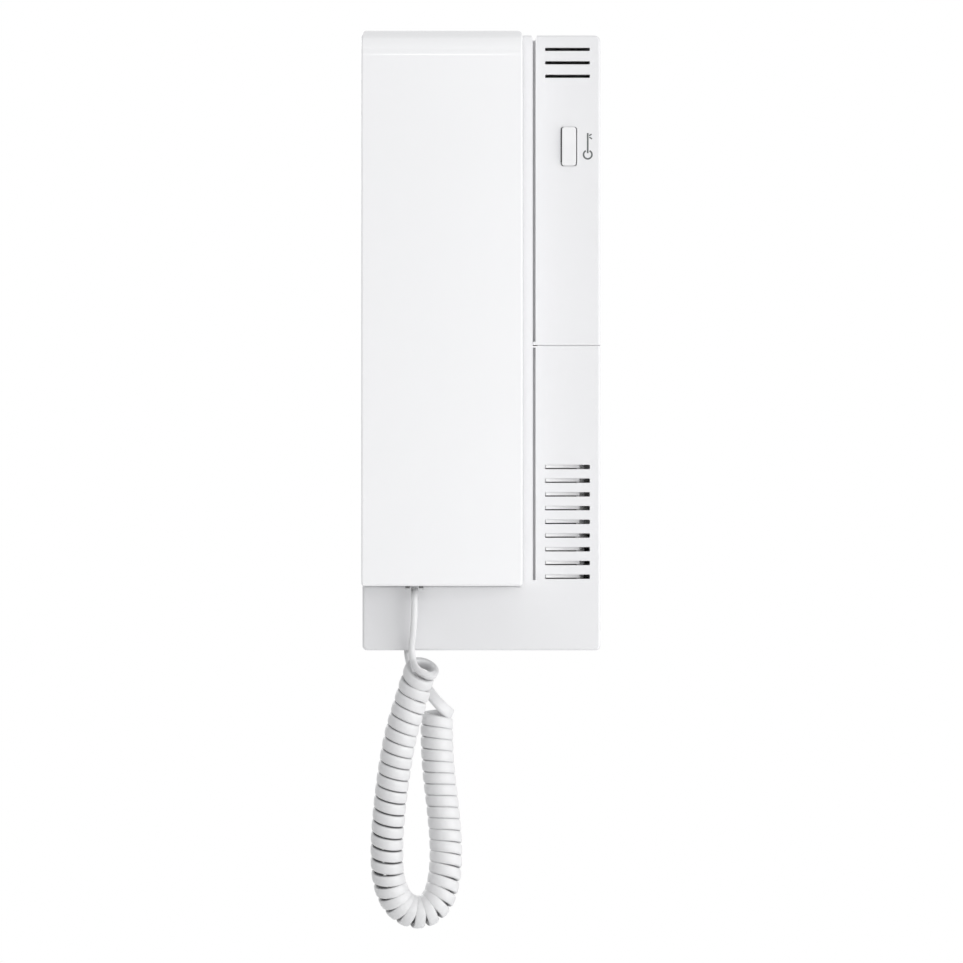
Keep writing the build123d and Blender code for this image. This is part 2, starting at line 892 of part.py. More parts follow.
def make_speaker_frame():
    """Pressed basket with a flange that sits on the plate's round seat."""
    front = speaker_seat_depth
    flange_rear = front - speaker_flange
    basket_rear = flange_rear - speaker_basket_depth
    frame = peg(speaker_x, speaker_z, speaker_radius, flange_rear, front)
    frame += peg(speaker_x, speaker_z, speaker_basket_radius, basket_rear, front)
    hollow_radius = speaker_basket_radius - speaker_flange
    frame -= peg(speaker_x, speaker_z, hollow_radius, basket_rear + speaker_flange, front + overrun)
    return frame


def make_speaker_magnet():
    """Round magnet and its back plate, behind the basket."""
    rear = speaker_seat_depth - speaker_flange - speaker_basket_depth
    magnet = peg(speaker_x, speaker_z, speaker_magnet_radius, rear - speaker_magnet_depth, rear)
    return chamfer(magnet.edges().sort_by(Axis.Y)[-1], speaker_magnet_depth / 6)


def make_speaker_cone():
    """Thin cone with a centre dome, revolved, clamped inside the basket's rim."""
    rim = speaker_basket_radius - speaker_flange
    front = speaker_seat_depth
    deep = front - speaker_cone_depth
    t = speaker_cone_thickness
    with BuildLine() as line:
        rise = Polyline((0, deep + speaker_cone_depth / 2), (0, deep + speaker_cone_depth / 2 - t))
        dome_under = Line(rise @ 1, (speaker_dome_radius, deep - t))
        slope_under = Line(dome_under @ 1, (rim, front - t))
        edge = Line(slope_under @ 1, (rim, front))
        slope = Line(edge @ 1, (speaker_dome_radius, deep))
        Line(slope @ 1, rise @ 0)
    half = make_face(line.edges())
    cone = revolve(half, Axis.Y)
    return Pos(speaker_x, 0, speaker_z) * (mirror(cone, Plane.XZ))


# Modular jacks and plugs


def jack(x, depth, z, turn=0.0):
    """Modular jack with its mouth downwards at height z, turned about the upright through it."""
    half_w, half_d = jack_width / 2, jack_depth / 2
    body = block((-half_w, half_w), (-half_d, half_d), (z, z + jack_length))
    room_w = plug_width / 2 + plug_clearance
    room_d = plug_depth / 2 + plug_clearance
    mouth = z - overrun
    body -= block((-room_w, room_w), (-room_d, room_d), (mouth, z + plug_length - wall + jack_floor_gap))
    # the groove the latch runs in
    latch_w = plug_latch_width / 2 + plug_clearance * 2
    latch_far = room_d + plug_latch_gap + plug_latch_thickness / 2
    latch_end = z + plug_latch_length - wall + jack_floor_gap
    body -= block((-latch_w, latch_w), (0.0, latch_far), (mouth, latch_end))
    return Pos(x, -depth, 0) * Rot(0, 0, turn) * body


def plug(x, depth, face_z, thickness, turn=0.0):
    """Clear modular plug pushed up through a wall whose outer face is at face_z."""
    half_w, half_d = plug_width / 2, plug_depth / 2
    low = face_z - plug_proud
    high = face_z + thickness + plug_length - wall
    body = block((-half_w, half_w), (-half_d, half_d), (low, high))
    # open comb over the four contacts
    for i in range(contact_count):
        contact_x = contact_pitch * (i - (contact_count - 1) / 2)
        body -= block(
            (contact_x - contact_width / 2, contact_x + contact_width / 2),
            (-half_d - overrun, -half_d + contact_depth),
            (high - contact_length, high + overrun),
        )
    # sloped nose where the plug's body narrows
    nose = make_face(
        Polyline((-half_d, high), (-half_d, high - plug_nose), (-half_d + plug_nose / 2, high), close=True)
    )
    body -= extrude(Plane.YZ.offset(-half_w - overrun) * nose, plug_width + overrun * 2)
    return Pos(x, -depth, 0) * Rot(0, 0, turn) * body


# Door button and hook plunger


def make_door_button():
    """Button cap with a crowned face, a flange behind the fascia and a stem through its guide."""
    cap_front = base_depth + button_proud
    flange_front = base_depth - wall - fit_gap
    flange_rear = flange_front - button_flange_thickness
    cap = layer(
        Pos(button_x, button_z) * RectangleRounded(button_width, button_height, button_corner_radius),
        flange_rear,
        cap_front,
    )
    # the face falls away towards its upper and lower ends
    half = button_height / 2
    crown_radius = (half**2 + button_crown**2) / (2 * button_crown)
    roller = Rot(0, 90, 0) * Cylinder(crown_radius, button_width + overrun)
    cap &= Pos(button_x, -(cap_front - crown_radius), button_z) * roller
    cap = fillet(cap.faces().sort_by(Axis.Y)[0].edges(), button_edge_radius)
    # its lower end is bevelled
    toe_top, toe_low = button_z - half + button_toe, button_z - half
    toe_front = cap_front - crown_radius + math.sqrt(crown_radius**2 - (half - button_toe) ** 2)
    toe = Polygon(
        (-cap_front - overrun, toe_top),
        (-toe_front, toe_top),
        (-toe_front + button_toe_fall, toe_low),
        (-cap_front - overrun, toe_low),
        align=None,
    )
    cap -= extrude(Plane.YZ.offset(button_x) * toe, button_width, both=True)
    flange = rectangle(
        button_x - button_width / 2 - button_flange,
        button_x + button_width / 2 + button_flange,
        button_z - button_height / 2 - button_flange,
        button_z + button_height / 2 + button_flange,
        button_corner_radius,
    )
    cap += layer(flange, flange_rear, flange_front)
    stem_end = board_front + switch_height + switch_cap_height + switch_gap + button_travel
    return cap + peg(button_x, button_z, button_stem_radius, stem_end, flange_front)


def make_hook_plunger():
    """Round plunger that the hung handset holds in."""
    tail_end = board_front + switch_height + switch_cap_height + switch_gap
    tip = peg(hook_x, hook_z, hook_tip_radius, hook_flange_rear, cradle_floor)
    tip = fillet(tip.edges().sort_by(Axis.Y)[0], hook_tip_round)
    tip += peg(hook_x, hook_z, hook_flange_radius, hook_flange_rear, hook_flange_front)
    return tip + peg(hook_x, hook_z, hook_tail_radius, tail_end, hook_flange_front)


# Handset


def handset_side(depth, z):
    """A point of the handset's side outline."""
    return (-depth, z)


def handset_shape(inset):
    """The handset's outside, drawn in by inset: its side outline crossed with its front outline."""
    side = FilletPolyline(
        handset_side(handset_front, handset_bottom),
        handset_side(handset_front, handset_top),
        handset_side(handset_rear, handset_top),
        handset_side(handset_rear, grip_top + grip_ramp),
        handset_side(grip_rear, grip_top),
        handset_side(grip_rear, grip_bottom),
        handset_side(handset_rear, grip_bottom - grip_ramp),
        handset_side(handset_rear, handset_bottom),
        radius=[
            front_bottom_radius,
            handset_roll_radius,
            rear_top_radius,
            grip_outer_radius,
            grip_inner_radius,
            grip_inner_radius,
            grip_outer_radius,
            rear_bottom_radius,
        ],
        close=True,
    )
    # the corners' arcs end a little past the flat ends, so that they meet them at an angle
    low, high = handset_bottom - corner_lift, handset_top + corner_lift
    front = FilletPolyline(
        (handset_left, low),
        (handset_left, high),
        (handset_right, high),
        (handset_right, low),
        radius=[handset_bottom_corner, handset_top_corner, handset_top_corner, handset_bottom_corner],
        close=True,
    )
    side_face, front_face = make_face(side), make_face(front)
    if inset:
        side_face, front_face = offset(side_face, -inset), offset(front_face, -inset)
    solid = extrude(Plane.YZ.offset(handset_left + inset) * side_face, handset_width - inset * 2)
    return solid & layer(front_face, handset_rear - overrun, handset_front + overrun)


def long_edges(solid):
    """The edges along both long sides, front and back."""
    found = []
    for edge in solid.edges():
        middle = edge.center()
        on_side = min(abs(middle.X - handset_left), abs(middle.X - handset_right)) < fit_gap
        tangent = edge % 0.5
        if on_side and abs(tangent.Y) < abs(tangent.Z) and edge.length > handset_wall:
            found.append(edge)
    return found


def half_shell(solid, near, far):
    """The stretch of the handset between two depths."""
    x_range = (handset_left - overrun, handset_right + overrun)
    return solid & block(x_range, (near, far), (handset_bottom - overrun, handset_top + overrun))


def screw_boss(z, radius, bore, near, far):
    """A round boss with a bore right through it."""
    boss = peg(handset_x, z, radius, near, far)
    return boss - peg(handset_x, z, bore, near - overrun, far + overrun)


def ballast_pegs(near, far):
    """Four pegs that hold the ballast plate between the shells."""
    x = ballast_width / 2 - ballast_peg_inset
    z = ballast_height / 2 - ballast_peg_inset
    return [
        peg(handset_x + side * x, grip_middle + end * z, ballast_peg_radius, near, far)
        for side in (-1, 1)
        for end in (-1, 1)
    ]


def make_handset_front_shell(outside, inside):
    """The long front cover of the handset."""
    shell = half_shell(outside - inside, handset_split, handset_front + overrun)
    inner_front = handset_front - handset_wall
    bore = handset_screw_radius + screw_slack
    for z in handset_screw_zs:
        shell += screw_boss(z, bore + boss_wall, bore, handset_split, inner_front + handset_wall / 2)
    for post in ballast_pegs(ballast_depth + ballast_thickness, inner_front + handset_wall / 2):
        shell += post
    return shell - jack_window(
        handset_jack_x, handset_jack_depth, handset_bottom, handset_wall, handset_jack_turn
    )


def make_handset_rear_shell(outside, inside):
    """The back of the handset, with the ear and mouth pads and their sound holes."""
    shell = half_shell(outside - inside, handset_rear - overrun, handset_split)
    # its right side is set in, behind the front shell's rim
    whole = (handset_bottom - overrun, handset_top + overrun)
    behind = (handset_rear - overrun, handset_split)
    shell -= block((handset_side_x, handset_right + overrun), behind, whole)
    shell += outside & block((handset_side_x - handset_wall, handset_side_x), behind, whole)
    for z, radius, height in (
        (ear_pad_z, ear_pad_radius, ear_pad_height),
        (mouth_pad_z, mouth_pad_radius, mouth_pad_height),
    ):
        pad_rear = handset_rear - height
        pad = peg(handset_x, z, radius, pad_rear, handset_rear + handset_wall / 2)
        pad = fillet(pad.edges().sort_by(Axis.Y)[-1], pad_edge_radius)
        shell += pad
        hollow_top = handset_rear + handset_wall + overrun
        shell -= peg(handset_x, z, radius - handset_wall, pad_rear + handset_wall, hollow_top)
    for angle in range(ear_hole_count):
        turn = math.radians(360 / ear_hole_count * angle)
        shell -= ear_hole(ear_hole_ring * math.cos(turn), ear_hole_ring * math.sin(turn))
    shell -= ear_hole(0.0, 0.0)
    mouth_rear = handset_rear - mouth_pad_height
    mouth_holes = (mouth_rear - overrun, mouth_rear + handset_wall + overrun)
    for i in (-1, 0, 1):
        shell -= peg(handset_x + i * mouth_hole_spacing, mouth_pad_z, mouth_hole_radius, *mouth_holes)
    head_room = handset_screw_head_radius + fit_gap
    boss_radius = head_room + rear_boss_wall
    for z in handset_screw_zs:
        bore = handset_screw_radius + fit_gap
        shell += screw_boss(z, boss_radius, bore, handset_rear + handset_wall / 2, handset_split)
        shell -= peg(handset_x, z, bore, handset_rear - overrun, handset_rear + handset_wall)
        shell -= peg(handset_x, z, head_room, handset_rear - overrun, handset_rear + handset_screw_sink)
    for post in ballast_pegs(grip_rear + handset_wall / 2, ballast_depth):
        shell += post
    return shell


def ear_hole(x, z):
    """One sound hole through the ear pad."""
    pad_rear = handset_rear - ear_pad_height
    return peg(
        handset_x + x, ear_pad_z + z, ear_hole_radius, pad_rear - overrun, pad_rear + handset_wall + overrun
    )


def make_earpiece_gasket():
    """Foam ring between the earpiece and the ear pad."""
    outer = ear_pad_radius - handset_wall - capsule_gap
    floor = handset_rear - ear_pad_height + handset_wall
    front = floor + gasket_thickness
    ring = peg(handset_x, ear_pad_z, outer, floor, front)
    return ring - peg(handset_x, ear_pad_z, outer - gasket_width, floor - overrun, front + overrun)


def make_earpiece_capsule():
    """Round earpiece with a smaller magnet cup on its back."""
    radius = ear_pad_radius - handset_wall - capsule_gap
    low = handset_rear - ear_pad_height + handset_wall + gasket_thickness
    cup_low = low + earpiece_height - earpiece_rear_height
    capsule = peg(handset_x, ear_pad_z, radius, low, cup_low)
    capsule = chamfer(capsule.edges().sort_by(Axis.Y)[0], gasket_thickness)
    return capsule + peg(handset_x, ear_pad_z, earpiece_rear_radius, low, low + earpiece_height)


def make_microphone_boot():
    """Rubber cup that holds the microphone over the mouth holes."""
    floor = handset_rear - mouth_pad_height + handset_wall
    top_depth = floor + boot_floor + microphone_height
    boot = peg(handset_x, mouth_pad_z, microphone_radius + boot_wall, floor, top_depth)
    boot -= peg(handset_x, mouth_pad_z, microphone_radius, floor + boot_floor, top_depth + overrun)
    opening = microphone_radius - boot_floor
    return boot - peg(handset_x, mouth_pad_z, opening, floor - overrun, floor + boot_floor + overrun)


def make_microphone():
    """Electret microphone capsule."""
    low = handset_rear - mouth_pad_height + handset_wall + boot_floor
    return peg(handset_x, mouth_pad_z, microphone_radius, low, low + microphone_height)


def make_ballast():
    """Steel plate that gives the handset its weight."""
    plate = RectangleRounded(ballast_width, ballast_height, ballast_corner_radius)
    outline = Pos(handset_x, grip_middle) * plate
    return layer(outline, ballast_depth, ballast_depth + ballast_thickness)


def make_handset_screws():
    """Two long screws from the handset's back into the front shell."""
    screws = []
    for z in handset_screw_zs:
        seat = handset_rear + handset_screw_sink
        screw = peg(handset_x, z, handset_screw_radius, seat, handset_screw_tip)
        screw += peg(handset_x, z, handset_screw_head_radius, seat - handset_screw_head_height, seat)
        head = seat - handset_screw_head_height
        recess = (head - overrun, head + handset_screw_head_height / 2)
        screws.append(screw - cross_recess(handset_x, z, handset_screw_head_radius, recess))
    return screws


# Cord


def biarc(start, start_direction, end, end_direction):
    """Two arcs that leave start and reach end in the given directions."""
    chord = end - start
    both = start_direction + end_direction
    turn = 2 * (1 - start_direction.dot(end_direction))
    along = chord.dot(both)
    reach = (math.sqrt(along**2 + turn * chord.dot(chord)) - along) / turn
    middle = (start + end + (start_direction - end_direction) * reach) / 2
    first = Edge.make_tangent_arc(start, start_direction, middle)
    return [first, Edge.make_tangent_arc(middle, first % 1, end)]


def biarc_wire(stations):
    """A smooth wire of arcs through stations, each a point and a direction."""
    edges = []
    for (start, start_direction), (end, end_direction) in zip(stations, stations[1:]):
        edges += biarc(start, start_direction, end, end_direction)
    return edges


def tube(path, diameter):
    """A round tube along a wire."""
    section = Plane(path @ 0, z_dir=path % 0) * Circle(diameter / 2)
    return sweep(section, path)


def least_gap(path, diameter, turn_length):
    """The least gap of a wound tube to itself, measured on points along its middle."""
    count = round(path.length / turn_length * steps_per_turn * 6)
    points = [tuple(path @ (i / count)) for i in range(count + 1)]
    skip = round(count * turn_length / path.length / 2)
    return min(
        math.dist(points[i], points[j])
        for i in range(len(points))
        for j in range(i + skip, len(points))
    ) - diameter


def coil_stations():
    """Points and directions of the coil's turns, a quarter turn apart."""
    axis = Spline(*[place(*point) for point in coil_axis_route])

    def bend(s):
        """How sharply the axis bends, in one over the radius."""
        near = max(0.0, s - curvature_span)
        far = min(axis.length, s + curvature_span)
        turn = axis.tangent_at(far / axis.length) - axis.tangent_at(near / axis.length)
        return turn.length / (far - near)

    stations = []
    s, angle = 0.0, math.radians(coil_start_angle)
    while s < axis.length:
        along = axis.tangent_at(s / axis.length)
        side = Vector(0, -1, 0).cross(along).normalized()
        front = along.cross(side)
        sharpest = max(bend(s - pitch_window), bend(s), bend(s + pitch_window))
        pitch = max(coil_pitch, (cord_diameter + coil_least_gap) / (1 - coil_radius * sharpest))
        point = axis.position_at(s / axis.length)
        point += (side * math.cos(angle) + front * math.sin(angle)) * coil_radius
        around = side * math.sin(angle) - front * math.cos(angle)
        stations.append((point, (around * (2 * math.pi * coil_radius) + along * pitch).normalized()))
        s += pitch / steps_per_turn
        angle -= 2 * math.pi / steps_per_turn
    return stations


def make_cord_coil():
    """The curly stretch, one tube with a straight end of one diameter at each lead."""
    down, up = Vector(0, 0, -1), Vector(0, 0, 1)
    start = place(*handset_lead_route[-1])
    end = place(*base_lead_route[-1])
    turns = coil_stations()
    stations = [(start + down * cord_diameter, down)] + turns + [(end + down * cord_diameter, up)]
    edges = [Edge.make_line(start, start + down * cord_diameter)]
    edges += biarc_wire(stations)
    edges.append(Edge.make_line(end + down * cord_diameter, end))
    path = Wire(edges)
    turn_length = 2 * math.pi * coil_radius
    radii = [edge.radius for edge in path.edges() if edge.geom_type == GeomType.CIRCLE]
    print("coil turns", (len(turns) - 1) / steps_per_turn, "length", round(path.length, 1))
    print("coil arc radii", round(min(radii), 2), "to", round(max(radii), 2))
    print("coil least gap to itself", round(least_gap(path, cord_diameter, turn_length), 2))
    return tube(path, cord_diameter)


def lead(route, start_z):
    """A straight stretch of cord, as runs joined by arcs as large as the runs allow."""
    points = [place(x, depth, start_z if z is None else z) for x, depth, z in route]
    if len(points) == 2:
        return tube(Wire([Edge.make_line(*points)]), cord_diameter)
    radii = []
    for before, corner, after in zip(points, points[1:], points[2:]):
        turn = math.radians((corner - before).get_angle(after - corner))
        radii.append(0.45 * min((corner - before).length, (after - corner).length) / math.tan(turn / 2))
    path = FilletPolyline(*points, radius=radii)
    print("lead arc radii", [round(radius, 1) for radius in radii], "length", round(path.length, 1))
    return tube(path.wire() if isinstance(path, Curve) else path, cord_diameter)


def spring(x, z, radius, near, far, turns):
    """A compression spring between two depths, wound on an axis square to the wall."""
    stations = []
    low, high = near + spring_wire / 2 + screw_slack, far - spring_wire / 2 - screw_slack
    count = turns * steps_per_turn
    pitch = (high - low) / turns
    for i in range(count + 1):
        angle = 2 * math.pi * i / steps_per_turn
        depth = low + (high - low) * i / count
        point = place(x + radius * math.cos(angle), depth, z + radius * math.sin(angle))
        around = Vector(-math.sin(angle), 0, math.cos(angle)) * (2 * math.pi * radius)
        stations.append((point, (around + Vector(0, -pitch, 0)).normalized()))
    path = Wire(biarc_wire(stations))
    print("spring least gap to itself", round(least_gap(path, spring_wire, 2 * math.pi * radius), 2))
    return tube(path, spring_wire)


def make_hook_spring():
    """Spring between the board and the plunger's flange."""
    return spring(hook_x, hook_z, hook_spring_radius, board_front, hook_flange_rear, hook_spring_turns)


def make_button_spring():
    """Spring between the guide plate and the button's flange."""
    flange_rear = base_depth - wall - fit_gap - button_flange_thickness
    return spring(button_x, button_z, button_spring_radius, guide_depth, flange_rear, button_spring_turns)


def build():
    """Every node by name."""
    outside = outer_shape()
    handset_outside = handset_shape(0.0)
    handset_outside = fillet(long_edges(handset_outside), handset_edge_radius)
    handset_inside = handset_shape(handset_wall)
    plug_end = handset_bottom - plug_proud
    return {
        "wall_plate": make_wall_plate(),
        "front_housing": make_front_housing(outside),
        "upper_fascia": make_upper_fascia(outside),
        "sound_baffle": make_sound_baffle(),
        "circuit_board": make_circuit_board(),
        "board_screws": make_board_screws(),
        "terminal_block": make_terminal_block(),
        "terminal_screws": make_terminal_screws(),
        "hook_switch": push_switch(hook_x, hook_z),
        "door_switch": push_switch(button_x, button_z),
        "capacitors": make_capacitors(),
        "speaker_frame": make_speaker_frame(),
        "speaker_magnet": make_speaker_magnet(),
        "speaker_cone": make_speaker_cone(),
        "base_jack": jack(base_jack_x, base_jack_depth, base_plug_face + wall, base_jack_turn),
        "hook_plunger": make_hook_plunger(),
        "hook_spring": make_hook_spring(),
        "door_button": make_door_button(),
        "button_spring": make_button_spring(),
        "handset_front_shell": make_handset_front_shell(handset_outside, handset_inside),
        "handset_rear_shell": make_handset_rear_shell(handset_outside, handset_inside),
        "earpiece_capsule": make_earpiece_capsule(),
        "earpiece_gasket": make_earpiece_gasket(),
        "microphone_capsule": make_microphone(),
        "microphone_boot": make_microphone_boot(),
        "handset_jack": jack(
            handset_jack_x, handset_jack_depth, handset_bottom + handset_wall, handset_jack_turn
        ),
        "handset_ballast": make_ballast(),
        "handset_screws": make_handset_screws(),
        "cord_handset_plug": plug(
            handset_jack_x, handset_jack_depth, handset_bottom, handset_wall, handset_jack_turn
        ),
        "cord_handset_lead": lead(handset_lead_route, plug_end),
        "cord_coil": make_cord_coil(),
        "cord_base_lead": lead(base_lead_route, base_plug_face - plug_proud),
        "cord_base_plug": plug(base_jack_x, base_jack_depth, base_plug_face, wall, base_jack_turn),
    }


os.makedirs("parts", exist_ok=True)
for name, shape in build().items():
    solids = shape if isinstance(shape, list) else [shape]
    solids = [solid for item in solids for solid in item.solids()]
    export_step(Compound(children=solids) if len(solids) > 1 else solids[0], f"parts/{name}.step")
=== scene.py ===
"""The looks of a white wall-mounted door-entry telephone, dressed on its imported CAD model."""

import math

import bmesh
import bpy
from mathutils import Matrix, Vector


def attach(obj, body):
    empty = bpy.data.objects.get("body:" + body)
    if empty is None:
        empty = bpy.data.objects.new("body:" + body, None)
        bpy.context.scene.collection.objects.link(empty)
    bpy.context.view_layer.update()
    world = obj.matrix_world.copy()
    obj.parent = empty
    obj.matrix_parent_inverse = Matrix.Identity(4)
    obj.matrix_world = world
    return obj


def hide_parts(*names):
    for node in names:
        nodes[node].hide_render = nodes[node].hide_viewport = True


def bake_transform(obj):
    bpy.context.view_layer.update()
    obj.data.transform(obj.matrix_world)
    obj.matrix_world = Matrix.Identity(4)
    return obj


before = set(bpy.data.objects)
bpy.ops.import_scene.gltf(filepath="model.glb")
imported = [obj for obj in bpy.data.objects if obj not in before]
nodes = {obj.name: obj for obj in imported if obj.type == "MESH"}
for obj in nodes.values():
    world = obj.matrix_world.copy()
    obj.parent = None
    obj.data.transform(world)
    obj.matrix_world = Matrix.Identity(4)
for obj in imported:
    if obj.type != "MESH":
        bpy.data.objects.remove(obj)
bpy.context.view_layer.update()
scene = bpy.context.scene
scene.view_settings.view_transform = "Standard"


# Set of the picture: the unit hangs free in front of a white surround, seen square from the
# front by a long lens at the height of its lower slots, over a pale floor under the cord.
view_place = (0.0, -1.545, -0.0495)
view_turn = (math.radians(90), 0.0, 0.0)
view_lens = 157.07
film_width = 36.0
lens = bpy.data.cameras.new("camera")
lens.lens = view_lens
lens.sensor_width = film_width
camera = bpy.data.objects.new("camera", lens)
camera.location = view_place
camera.rotation_euler = view_turn
scene.collection.objects.link(camera)
scene.camera = camera


def connect(tree, source, output, target, socket):
    """Joins two sockets of a node tree."""
    tree.links.new(source.outputs[output], target.inputs[socket])


def seen_directly(tree):
    """1 for what the camera, a reflection or a clear part shows of the surround, else 0."""
    path = tree.nodes.new("ShaderNodeLightPath")
    either = tree.nodes.new("ShaderNodeMath")
    either.operation = "MAXIMUM"
    connect(tree, path, "Is Camera Ray", either, 0)
    connect(tree, path, "Is Glossy Ray", either, 1)
    any_of_three = tree.nodes.new("ShaderNodeMath")
    any_of_three.operation = "MAXIMUM"
    connect(tree, either, "Value", any_of_three, 0)
    connect(tree, path, "Is Transmission Ray", any_of_three, 1)
    return any_of_three


room_light = 0.48
room_tint = (0.985, 0.99, 1.0, 1.0)
backdrop_white = (1.0, 1.0, 1.0, 1.0)
world = bpy.data.worlds.new("white_surround")
world.use_nodes = True
scene.world = world
tree = world.node_tree
tree.nodes.clear()
backdrop = tree.nodes.new("ShaderNodeBackground")
backdrop.inputs["Color"].default_value = backdrop_white
room = tree.nodes.new("ShaderNodeBackground")
room.inputs["Color"].default_value = room_tint
room.inputs["Strength"].default_value = room_light
choice = tree.nodes.new("ShaderNodeMixShader")
sky = tree.nodes.new("ShaderNodeOutputWorld")
connect(tree, seen_directly(tree), "Value", choice, 0)
connect(tree, room, "Background", choice, 1)
connect(tree, backdrop, "Background", choice, 2)
connect(tree, choice, "Shader", sky, "Surface")


def hang_lamp(name, shape, place, aim, size, power):
    """An area lamp that faces a point."""
    lamp = bpy.data.lights.new(name, "AREA")
    lamp.shape = shape
    lamp.size = size
    lamp.energy = power
    box = bpy.data.objects.new(name, lamp)
    box.location = place
    box.rotation_euler = (Vector(aim) - Vector(place)).to_track_quat("-Z", "Y").to_euler()
    scene.collection.objects.link(box)
    return lamp


light_target = (0.0, -0.04, -0.01)
# name, place, size, power
softboxes = (
    ("near_right", (0.455, -0.422, -0.094), 0.80, 2.75),
    ("far_right", (0.866, -0.272, 0.068), 0.40, 0.20),
    ("above", (0.154, -0.463, 0.769), 1.00, 1.90),
    ("behind", (-0.450, 0.750, 0.350), 0.60, 2.50),
)
for name, place, size, power in softboxes:
    hang_lamp(name, "DISK", place, light_target, size, power)

# a small lamp in front, which draws a bright line along the handset's rounded top
line_lamp_place = (-0.026, -1.30, 0.345)
line_lamp_aim = (-0.010, -0.060, 0.101)
line_lamp_width, line_lamp_height = 0.060, 0.05
line_lamp_power = 0.45
line_lamp = hang_lamp(
    "strip_across", "RECTANGLE", line_lamp_place, line_lamp_aim, line_lamp_width, line_lamp_power
)
line_lamp.size_y = line_lamp_height


def add_mesh(name, vertices, faces):
    """A new object at the origin from points and faces in the part's own frame, in metres."""
    mesh = bpy.data.meshes.new(name)
    mesh.from_pydata([tuple(v) for v in vertices], [], faces)
    mesh.update()
    piece = bpy.data.objects.new(name, mesh)
    scene.collection.objects.link(piece)
    return piece


def new_finish(name, colour, roughness):
    """A material with its node tree and its shader, ready for its detail."""
    material = bpy.data.materials.new(name)
    material.use_nodes = True
    shader = material.node_tree.nodes["Principled BSDF"]
    shader.inputs["Base Color"].default_value = (*colour, 1.0)
    shader.inputs["Roughness"].default_value = roughness
    return material, material.node_tree, shader


floor_height = -0.36
floor_reach = 0.8
floor_colour = (0.93, 0.93, 0.93)
floor_roughness = 0.6
floor_square = ((-1, -1), (1, -1), (1, 1), (-1, 1))
floor_corners = [(x * floor_reach, y * floor_reach, floor_height) for x, y in floor_square]
floor = add_mesh("floor", floor_corners, [(0, 1, 2, 3)])
floor_paint, tree, shader = new_finish("pale_floor", floor_colour, floor_roughness)
floor.data.materials.append(floor_paint)


# Wall plate: a flat ABS moulding with a low rim, two screw bosses, the cable's window and
# four snap hooks. Its face is spark-eroded, so it is duller than the housing in front of it.
def add_texture(tree, kind, scale, **settings):
    """A texture node on the piece's own coordinates, with its size given per metre."""
    place = tree.nodes.new("ShaderNodeTexCoord")
    texture = tree.nodes.new(kind)
    texture.inputs["Scale"].default_value = scale
    for name, value in settings.items():
        texture.inputs[name].default_value = value
    connect(tree, place, "Object", texture, "Vector")
    return texture


def tint(tree, shader, source, output, dark, light, low=0.35, high=0.65):
    """Base colour that runs from dark to light over a texture's values."""
    ramp = tree.nodes.new("ShaderNodeValToRGB")
    ramp.color_ramp.elements[0].position = low
    ramp.color_ramp.elements[0].color = (*dark, 1.0)
    ramp.color_ramp.elements[1].position = high
    ramp.color_ramp.elements[1].color = (*light, 1.0)
    connect(tree, source, output, ramp, "Fac")
    connect(tree, ramp, "Color", shader, "Base Color")
    return ramp


def gloss(tree, shader, source, output, low, high):
    """Roughness that follows a texture's values."""
    spread = tree.nodes.new("ShaderNodeMapRange")
    spread.inputs["To Min"].default_value = low
    spread.inputs["To Max"].default_value = high
    connect(tree, source, output, spread, "Value")
    connect(tree, spread, "Result", shader, "Roughness")


def relief(tree, shader, source, output, depth):
    """Small relief, in metres, from a texture's values."""
    bump = tree.nodes.new("ShaderNodeBump")
    bump.inputs["Strength"].default_value = 1.0
    bump.inputs["Distance"].default_value = depth
    connect(tree, source, output, bump, "Height")
    connect(tree, bump, "Normal", shader, "Normal")


slow_scale = 35.0
moulded_detail = 2.0
moulded_gloss_share = 0.12


def moulded(name, colour, roughness, grain, depth, shade=0.985):
    """Moulded plastic: fine tool texture, and slow changes of tone and gloss."""
    material, tree, shader = new_finish(name, colour, roughness)
    slow = add_texture(tree, "ShaderNodeTexNoise", slow_scale, Detail=moulded_detail)
    tint(tree, shader, slow, "Fac", [c * shade for c in colour], colour)
    low, high = roughness * (1 - moulded_gloss_share), roughness * (1 + moulded_gloss_share)
    gloss(tree, shader, slow, "Fac", low, high)
    fine = add_texture(tree, "ShaderNodeTexNoise", 1 / grain, Detail=moulded_detail)
    relief(tree, shader, fine, "Fac", depth)
    return material


def dress(material, *names):
    """Gives CAD nodes their finish."""
    for name in names:
        for slot in nodes[name].material_slots:
            slot.material = material


plate_colour = (0.80, 0.80, 0.80)
plate_roughness = 0.5
plate_grain, plate_relief = 0.0006, 0.00003
plate_abs = moulded("plate_abs", plate_colour, plate_roughness, plate_grain, plate_relief)
dress(plate_abs, "wall_plate")


# Circuit board with what is soldered on it: glass-epoxy with green mask over copper tracks,
# a terminal block with steel screws, two push switches and two electrolytic capacitors.
mask_dark, mask_light = (0.012, 0.085, 0.035), (0.02, 0.15, 0.06)
mask_roughness = 0.28
track_pitch = 0.0021
track_edge_low, track_edge_high = 0.06, 0.09
track_relief = 0.00002
board_finish, tree, shader = new_finish("green_solder_mask", mask_light, mask_roughness)
tracks = add_texture(tree, "ShaderNodeTexVoronoi", 1 / track_pitch)
tracks.feature = "DISTANCE_TO_EDGE"
tint(tree, shader, tracks, "Distance", mask_light, mask_dark, track_edge_low, track_edge_high)
relief(tree, shader, tracks, "Distance", track_relief)
dress(board_finish, "circuit_board")

terminal_green = (0.05, 0.22, 0.10)
terminal_roughness = 0.42
terminal_grain, terminal_relief = 0.0004, 0.00002
terminal_shade = 0.9
terminal_polyamide = moulded(
    "terminal_polyamide", terminal_green, terminal_roughness, terminal_grain, terminal_relief, terminal_shade
)
dress(terminal_polyamide, "terminal_block")

